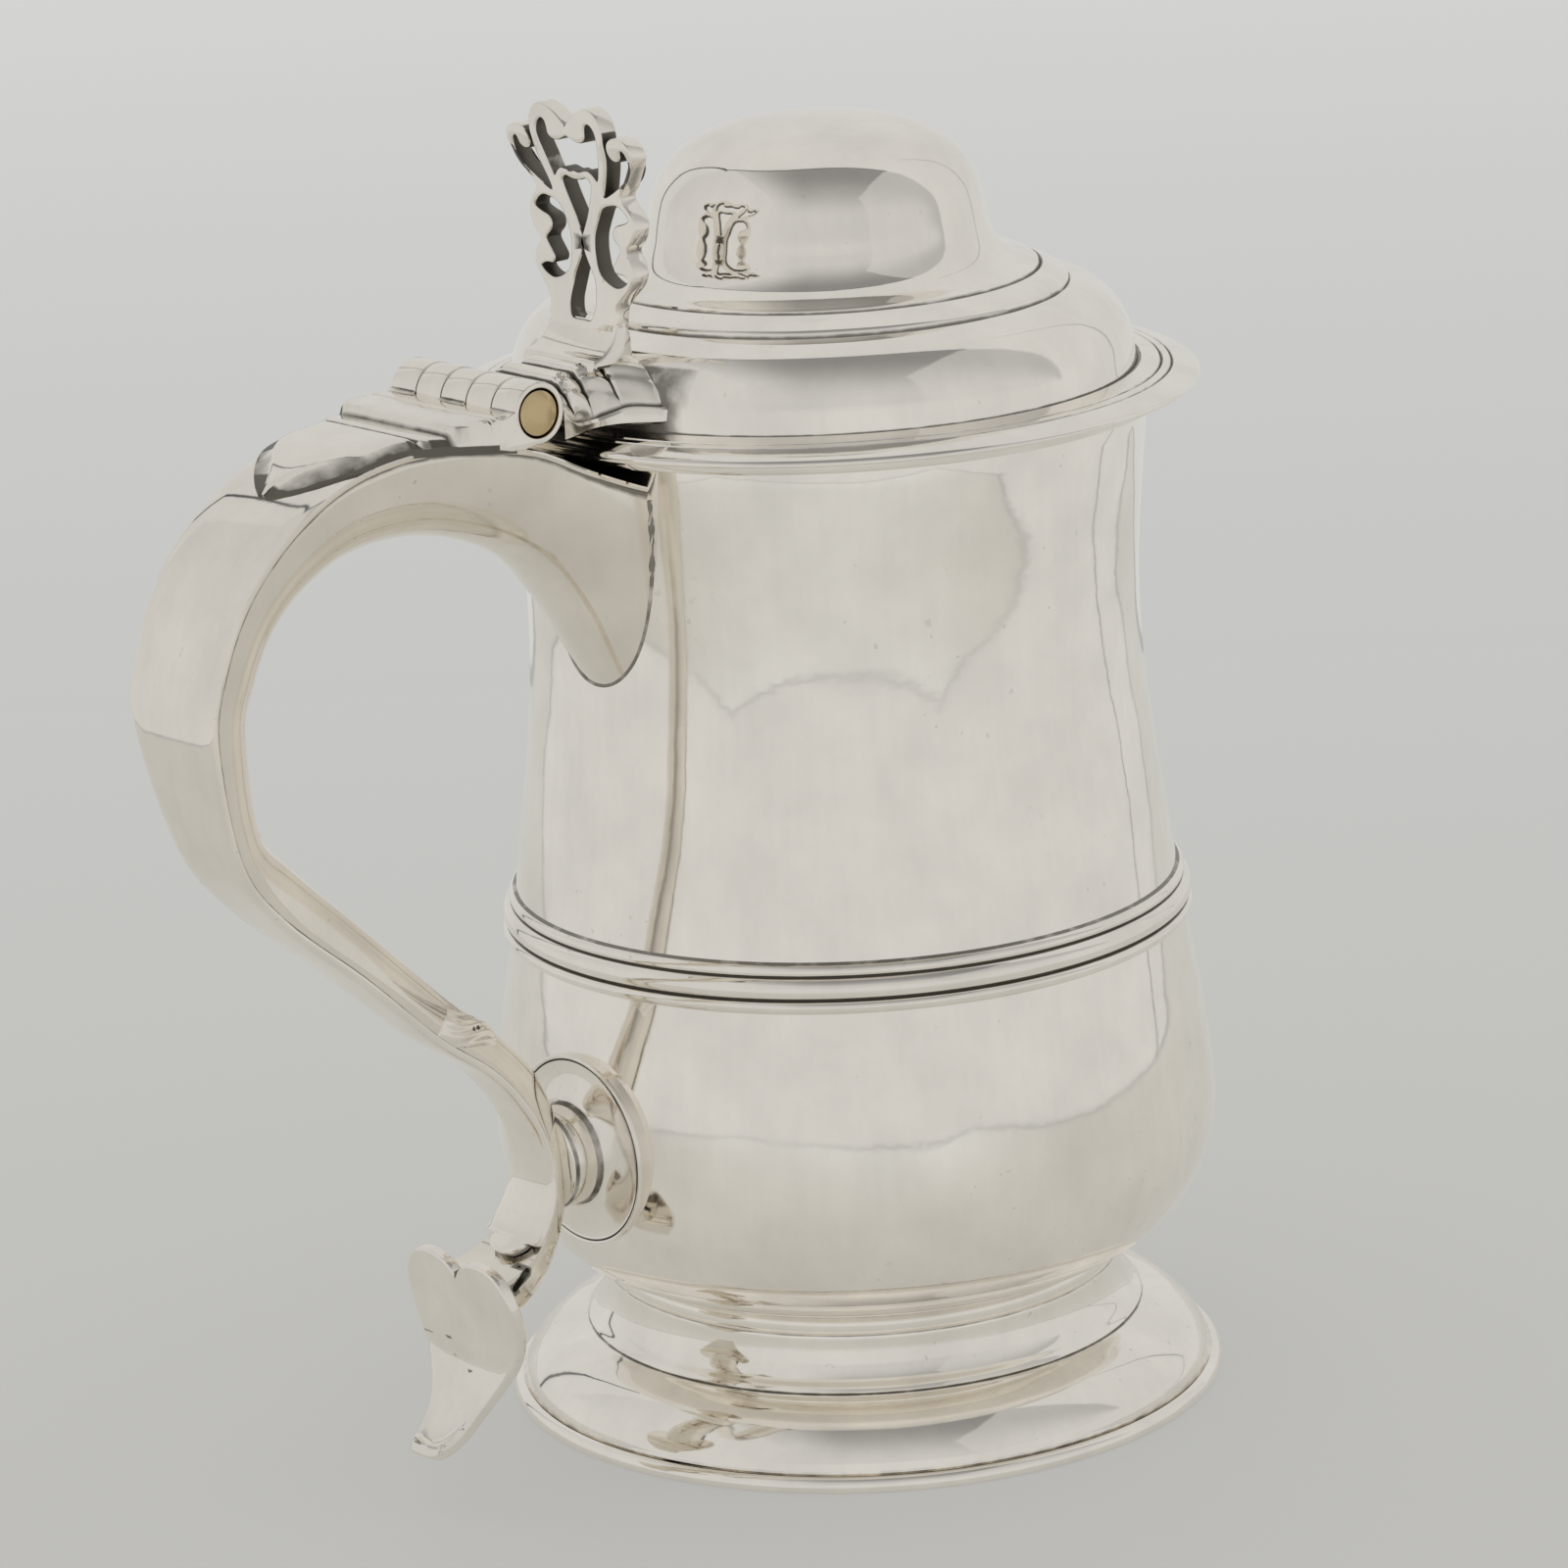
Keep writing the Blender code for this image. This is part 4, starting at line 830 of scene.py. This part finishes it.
LEAN = (
    (-2.0, 0.0), (5.0, 0.0), (10.0, 1.0), (20.0, 1.0), (25.0, 0.4), (29.0, -0.4), (32.0, -1.2),
    (37.0, -1.7), (40.0, -1.9),
)
kidney = [(point.x, point.y) for point in through(KIDNEY, 3)][:-1]
holes = [both_sides(through(half, 3)) for half in (WINDOW, DROP, FOOT_SLOT)]
holes += [kidney, [(-x, y) for x, y in reversed(kidney)]]
shape = plate([both_sides(through(OUTSIDE, 3)), *holes], THUMB_THICK, 0.38)
for vert in shape.verts:
    side, height, depth = vert.co
    below = max(i for i in range(len(LEAN) - 1) if LEAN[i][0] <= height)
    (start, lean), (end, leant) = LEAN[below], LEAN[below + 1]
    forward = lean + (leant - lean) * (height - start) / (end - start)
    vert.co = (forward - THUMB_OUT - depth, -side, PLINTH + height)
piece("thumbpiece_scrolls", shape, CAST_SILVER, "lid", "thumbpiece", reach=16.0)
line = through(((44.3, 173.0), (44.1, 175.2), (44.2, 177.6), (44.6, 179.2)), 4)
line += through(
    ((46.6, 179.3), (47.2, 177.8), (48.3, 176.2), (49.8, 175.0), (51.6, 174.3), (52.2, 173.0)), 4
)
shape = plate([[(point.x, point.y) for point in line]], PLINTH_WIDTH, 0.6)
for vert in shape.verts:
    side = vert.co.z * (1 + PLINTH_FLARE * (PLINTH_TOP - vert.co.y))
    vert.co = (-vert.co.x, side, vert.co.y)
piece("thumbpiece_foot", shape, CAST_SILVER, "lid")

# The handle's hinge leaf is cast too: a square shoulder behind the barrel that steps down and narrows to a
# shield on the strap. It is soldered down, with a dark line of painted shade round its edge and painted
# shade on the shield's sunk sides.
# A row is the place out from the axis, half the top's width, half the foot's, and the height on the strap.
LEAF_ROWS = (
    (72.0, 14.7, 14.7, 4.9), (73.0, 14.7, 14.7, 4.75), (74.5, 14.7, 14.7, 4.6), (76.0, 14.7, 14.7, 4.35),
    (76.5, 14.6, 14.7, 3.75), (77.0, 14.5, 14.7, 4.2), (79.0, 14.4, 14.7, 3.9), (81.2, 14.0, 14.6, 3.55),
    (82.4, 13.5, 14.4, 3.1), (83.2, 12.9, 14.0, 1.75), (85.5, 12.6, 13.4, 1.7), (87.2, 12.0, 12.8, 1.6),
    (87.7, 11.6, 12.4, 1.0), (88.3, 10.8, 12.0, 1.7), (90.0, 9.9, 11.3, 1.85), (93.0, 9.7, 11.3, 1.85),
    (96.0, 9.8, 11.6, 1.85), (98.0, 8.8, 11.3, 1.95), (100.0, 7.2, 10.4, 2.0), (101.4, 5.6, 9.3, 1.95),
    (102.8, 4.2, 8.0, 1.8), (104.2, 2.9, 6.4, 1.55), (105.8, 1.7, 4.2, 1.2), (107.5, 0.6, 1.0, 0.7),
)
strap_run = [(section[0], section[1]) for section in HANDLE_RUN[: 8 * ROW_STEPS]]


def strap_height(place):
    """How high the strap's face is at a place out from the axis."""
    after = next(i for i, point in enumerate(strap_run) if point[0] >= place)
    (start, low), (end, high) = strap_run[after - 1], strap_run[after]
    return low + (high - low) * (place - start) / (end - start)


def leaf_ring(row):
    """A ring across the leaf, from its foot on the strap to its flat top."""
    place, half, foot, lift = row
    low = strap_height(place)
    top = low + lift
    crown = (
        (foot, low - 0.9), (foot, low + 0.2), (foot, low + 0.5), (half + 0.1, top - 0.5),
        (half - 0.4, top - 0.1), (half - 1.0 if half > 2 else half * 0.6, top), (half * 0.4, top + 0.05),
        (0.0, top + 0.05),
    )
    ring = [Vector((-place, across, height)) for across, height in crown]
    return ring + [Vector((-place, -across, height)) for across, height in reversed(crown[:-1])]


rings = [leaf_ring(row) for row in through(LEAF_ROWS, 2)]
leaf_points = len(rings[0])


def leaf_base_and_side_shade(vert):
    """Painted shade on the leaf's foot and on the sunk sides of its shield."""
    place = vert.index % leaf_points
    up = min(place, leaf_points - 1 - place)
    if up < 2:
        return 0.8
    return (0.45, 0.22, 0.0)[min(up - 2, 2)] if -vert.co.x > 83 else 0.0


piece("handle_leaf_casting", skinned(rings), CAST_SILVER, "vessel", "handle_leaf", extra_tarnish_and_shade=leaf_base_and_side_shade)

# The hinge has five knuckles on one pin, three of the handle's and two of the lid's, filed to one barrel.
# The pin is brass and its two ends show.
HINGE = (67.6, 170.4)
BARREL = 4.6
BORE = 3.75
KNUCKLE_LENGTH = 5.7
KNUCKLE_PITCH = 6.0
HANDLE_ARC = (14, 280)
HANDLE_TAIL = ((70.6, 165.4), (73.0, 165.6), (75.2, 166.2), (75.2, 170.4), (73.2, 170.9), (72.1, 171.3))
LID_ARC = (-128, 128)
LID_TAIL = ((62.8, 172.6), (61.2, 172.2), (60.6, 168.6), (62.6, 167.6))


def round_hinge(radius, start, end, steps):
    """Places round the pin, from one angle to another."""
    arc = []
    for step in range(steps + 1):
        angle = math.radians(start + (end - start) * step / steps)
        arc.append((HINGE[0] + radius * math.cos(angle), HINGE[1] + radius * math.sin(angle)))
    return arc


def knuckle(start, end, tail):
    """A bored knuckle with its tail, from its side view."""
    bore = round_hinge(BORE, 0, 360, 40)[:-1]
    return plate([round_hinge(BARREL, start, end, 40) + list(tail), bore], KNUCKLE_LENGTH, 0.22)


for number in range(1, 6):
    fixed = number % 2
    shape = knuckle(*HANDLE_ARC, HANDLE_TAIL) if fixed else knuckle(*LID_ARC, LID_TAIL)
    for vert in shape.verts:
        vert.co = (-vert.co.x, (number - 3) * KNUCKLE_PITCH + vert.co.z, vert.co.y)
    owner, node = ("vessel", "handle_knuckle_") if fixed else ("lid", "lid_knuckle_")
    piece(f"{node}{number}_barrel", shape, CAST_SILVER, owner, f"{node}{number}")
PIN_BRASS = silver("pin_brass", (0.66, 0.52, 0.30), Dullness=0.2, Pits=0.6)
line = [(0.0, 15.15), (1.6, 15.1), (2.8, 14.9), (3.35, 14.6), (3.45, 14.2)]
line += [(3.45, -14.2), (3.35, -14.6), (2.8, -14.9), (1.6, -15.1), (0.0, -15.15)]
shape = spun(line, steps=48)
sideways = Matrix.Rotation(math.radians(90), 3, "X")
bmesh.ops.rotate(shape, verts=shape.verts, cent=(0, 0, 0), matrix=sideways)
bmesh.ops.translate(shape, vec=(-HINGE[0], 0, HINGE[1]), verts=shape.verts)
piece("hinge_pin_brass", shape, PIN_BRASS, "vessel", "hinge_pin", slot="gilt_pin")

# The floor is a wide sheet of pale paper that runs back out of sight. Its colour glows as painted light, a
# little lighter farther off as a painted falloff, and the glow keeps its shadow faint. The polished metal
# is shown it brighter and warmer than the camera sees it, as a painted reflection.
scene = bpy.context.scene
scene.view_settings.view_transform = "Standard"
VIEW_TURN = math.radians(-130.0)
shape = bmesh.new()
bmesh.ops.create_circle(shape, cap_ends=True, radius=9.0, segments=96)
mesh = bpy.data.meshes.new("paper_floor")
shape.to_mesh(mesh)
shape.free()
floor = bpy.data.objects.new("paper_floor", mesh)
floor.rotation_euler.z = VIEW_TURN
scene.collection.objects.link(floor)
paper = bpy.data.materials.new("floor_paper_painted_glow")
paper.use_nodes = True
tree = paper.node_tree
shader = tree.nodes["Principled BSDF"]
shader.inputs["Roughness"].default_value = 0.9
shader.inputs["Specular IOR Level"].default_value = 0.1
place = tree.nodes.new("ShaderNodeTexCoord")
along = tree.nodes.new("ShaderNodeSeparateXYZ")
tree.links.new(place.outputs["Object"], along.inputs[0])
shade = tree.nodes.new("ShaderNodeValToRGB")
shade.color_ramp.elements[0].color = (0.790, 0.790, 0.780, 1)
shade.color_ramp.elements[1].color = (0.760, 0.765, 0.760, 1)
for stop, colour in ((0.55, (0.672, 0.672, 0.655, 1)), (0.82, (0.630, 0.626, 0.600, 1))):
    shade.color_ramp.elements.new(stop).color = colour
tree.links.new(ranged(tree, along.outputs["X"], -1.6, 0.5), shade.inputs["Fac"])
lit = shade.outputs["Color"]
# The ramp is a painted falloff of light. The paper's colour is mostly its glow, which keeps its shadow
# faint.
base = mixed(tree, 1.0, lit, (0.36, 0.36, 0.36, 1), "MULTIPLY")
tree.links.new(base, shader.inputs["Base Color"])
# Reflections are shown the glow brighter and warmer, as a painted reflection.
ray = tree.nodes.new("ShaderNodeLightPath")
painted_glow = mixed(tree, ray.outputs["Is Glossy Ray"], lit, (1.13, 1.115, 1.085, 1), "MULTIPLY")
tree.links.new(painted_glow, shader.inputs["Emission Color"])
shader.inputs["Emission Strength"].default_value = 0.52
mesh.materials.append(paper)

# The light tent is a box of glowing white cloth round the tankard. The opening above the camera is painted
# dark on it, as are seams at its back corners and a taped edge to its roof, with a painted shadow along its
# lower edge on the floor. Only the metal's reflections see it.
# Places on the cloth are in metres from the axis, and rise is the angle up from its front.
shape = bmesh.new()
bmesh.ops.create_cube(shape, size=1.0)
bmesh.ops.scale(shape, vec=(0.98, 0.80, 0.80), verts=shape.verts)
bmesh.ops.translate(shape, vec=(0.04, -0.02, 0.401), verts=shape.verts)
under = [face for face in shape.faces if face.calc_center_median().z < 0.1]
bmesh.ops.delete(shape, geom=under, context="FACES_ONLY")
mesh = bpy.data.meshes.new("light_tent")
shape.to_mesh(mesh)
shape.free()
tent = bpy.data.objects.new("light_tent", mesh)
tent.location = (AXIS, 0, 0)
tent.rotation_euler.z = VIEW_TURN
scene.collection.objects.link(tent)
tent.visible_camera = False
tent.visible_diffuse = False
tent.visible_shadow = False
tent.visible_transmission = False
cloth = bpy.data.materials.new("tent_cloth")
cloth.use_nodes = True
tree = cloth.node_tree
tree.nodes.clear()


def times(first, second):
    """One mask cut down by another, or by a share."""
    return worked(tree, "MULTIPLY", first, second)


def patch(value, low, high, out_low=0.0, out_high=1.0):
    """A soft-edged mask over a stretch of the cloth."""
    return ranged(tree, value, low, high, out_low, out_high, "SMOOTHSTEP")


place = tree.nodes.new("ShaderNodeTexCoord")
part = tree.nodes.new("ShaderNodeSeparateXYZ")
tree.links.new(place.outputs["Object"], part.inputs[0])
x, y, z = part.outputs
lean = worked(tree, "MAXIMUM", worked(tree, "MULTIPLY_ADD", y, -2.7, -0.135), 0.0)
front = worked(tree, "MULTIPLY_ADD", times(lean, lean), 0.25, x)
rise = worked(tree, "ARCTAN2", worked(tree, "SUBTRACT", z, 0.17), front)
# The opening above the camera, painted dark on the glowing cloth.
opening = times(patch(rise, 0.35, 1.45, 0.17, 1.0), patch(rise, 1.60, 1.62, 1.0, 0.0))
opening = times(opening, patch(rise, 0.05, 0.25))
opening = times(opening, patch(y, -0.40, -0.05, 0.25, 1.0))
opening = times(opening, patch(worked(tree, "ABSOLUTE", y), 0.370, 0.376, 1.0, 0.45))
bow = worked(tree, "MAXIMUM", worked(tree, "MULTIPLY_ADD", z, 2.86, -1.286), 0.0)
bay = worked(tree, "MULTIPLY_ADD", x, 5.88, 1.47)
bow = worked(tree, "SQRT", worked(tree, "ADD", times(bay, bay), times(bow, bow)))
left_seam = patch(worked(tree, "ABSOLUTE", worked(tree, "SUBTRACT", bow, 1.0)), 0.05, 0.08, 1.0, 0.0)
left_seam = times(left_seam, patch(x, -0.245, -0.235, 1.0, 0.0))
left_seam = times(left_seam, patch(y, -0.416, -0.410, 1.0, 0.0))
hang = worked(tree, "MINIMUM", worked(tree, "MULTIPLY_ADD", z, 2.0, 0.10), 0.30)
hang = worked(tree, "ABSOLUTE", worked(tree, "ADD", x, hang))
right_seam = times(patch(hang, 0.002, 0.004, 1.0, 0.0), patch(y, 0.370, 0.374))
# A painted shadow along the cloth's lower edge on the floor.
bottom_edge_shadow = patch(z, 0.003, 0.006, 1.0, 0.0)
roof_edge = times(patch(rise, 1.57, 1.60), patch(rise, 1.62, 1.63, 1.0, 0.0))
roof_edge = times(roof_edge, patch(z, 0.78, 0.79))
dark = times(opening, 0.62)
for mask, depth in ((left_seam, 0.9), (right_seam, 0.7), (bottom_edge_shadow, 0.34), (roof_edge, 0.75)):
    dark = worked(tree, "MAXIMUM", dark, times(mask, depth))
glow = tree.nodes.new("ShaderNodeEmission")
tone = mixed(tree, dark, (0.665, 0.66, 0.645, 1), (0.03, 0.03, 0.032, 1))
tree.links.new(tone, glow.inputs["Color"])
surface = tree.nodes.new("ShaderNodeOutputMaterial")
tree.links.new(glow.outputs[0], surface.inputs["Surface"])
mesh.materials.append(cloth)

# Soft light comes evenly from the whole sky, as through white cloth. Past the edge of the floor the camera
# sees a pale grey like the paper's.
world = bpy.data.worlds.new("studio")
scene.world = world
world.use_nodes = True
tree = world.node_tree
sky = tree.nodes["Background"]
sky.inputs["Color"].default_value = (0.84, 0.84, 0.835, 1)
seen = tree.nodes.new("ShaderNodeBackground")
seen.inputs["Color"].default_value = (0.64, 0.64, 0.635, 1)
ray = tree.nodes.new("ShaderNodeLightPath")
either = tree.nodes.new("ShaderNodeMixShader")
tree.links.new(ray.outputs["Is Camera Ray"], either.inputs[0])
tree.links.new(sky.outputs[0], either.inputs[1])
tree.links.new(seen.outputs[0], either.inputs[2])
tree.links.new(either.outputs[0], tree.nodes["World Output"].inputs["Surface"])

# The camera stands about a metre off, fifty degrees round from the handle and higher than the lid. Its long
# lens fills the picture with the tankard.
camera_data = bpy.data.cameras.new("camera")
camera_data.sensor_width = 36.0
camera_data.lens = 154.54
camera = bpy.data.objects.new("camera", camera_data)
scene.collection.objects.link(camera)
stand = Matrix.Translation((AXIS - 0.6615, -0.7742, 0.3789))
heading = Matrix.Rotation(math.radians(-40.0), 4, "Z")
tilt = Matrix.Rotation(math.radians(74.543), 4, "X")
roll = Matrix.Rotation(math.radians(-2.7104), 4, "Z")
camera.matrix_world = stand @ (heading @ tilt @ roll)
scene.camera = camera
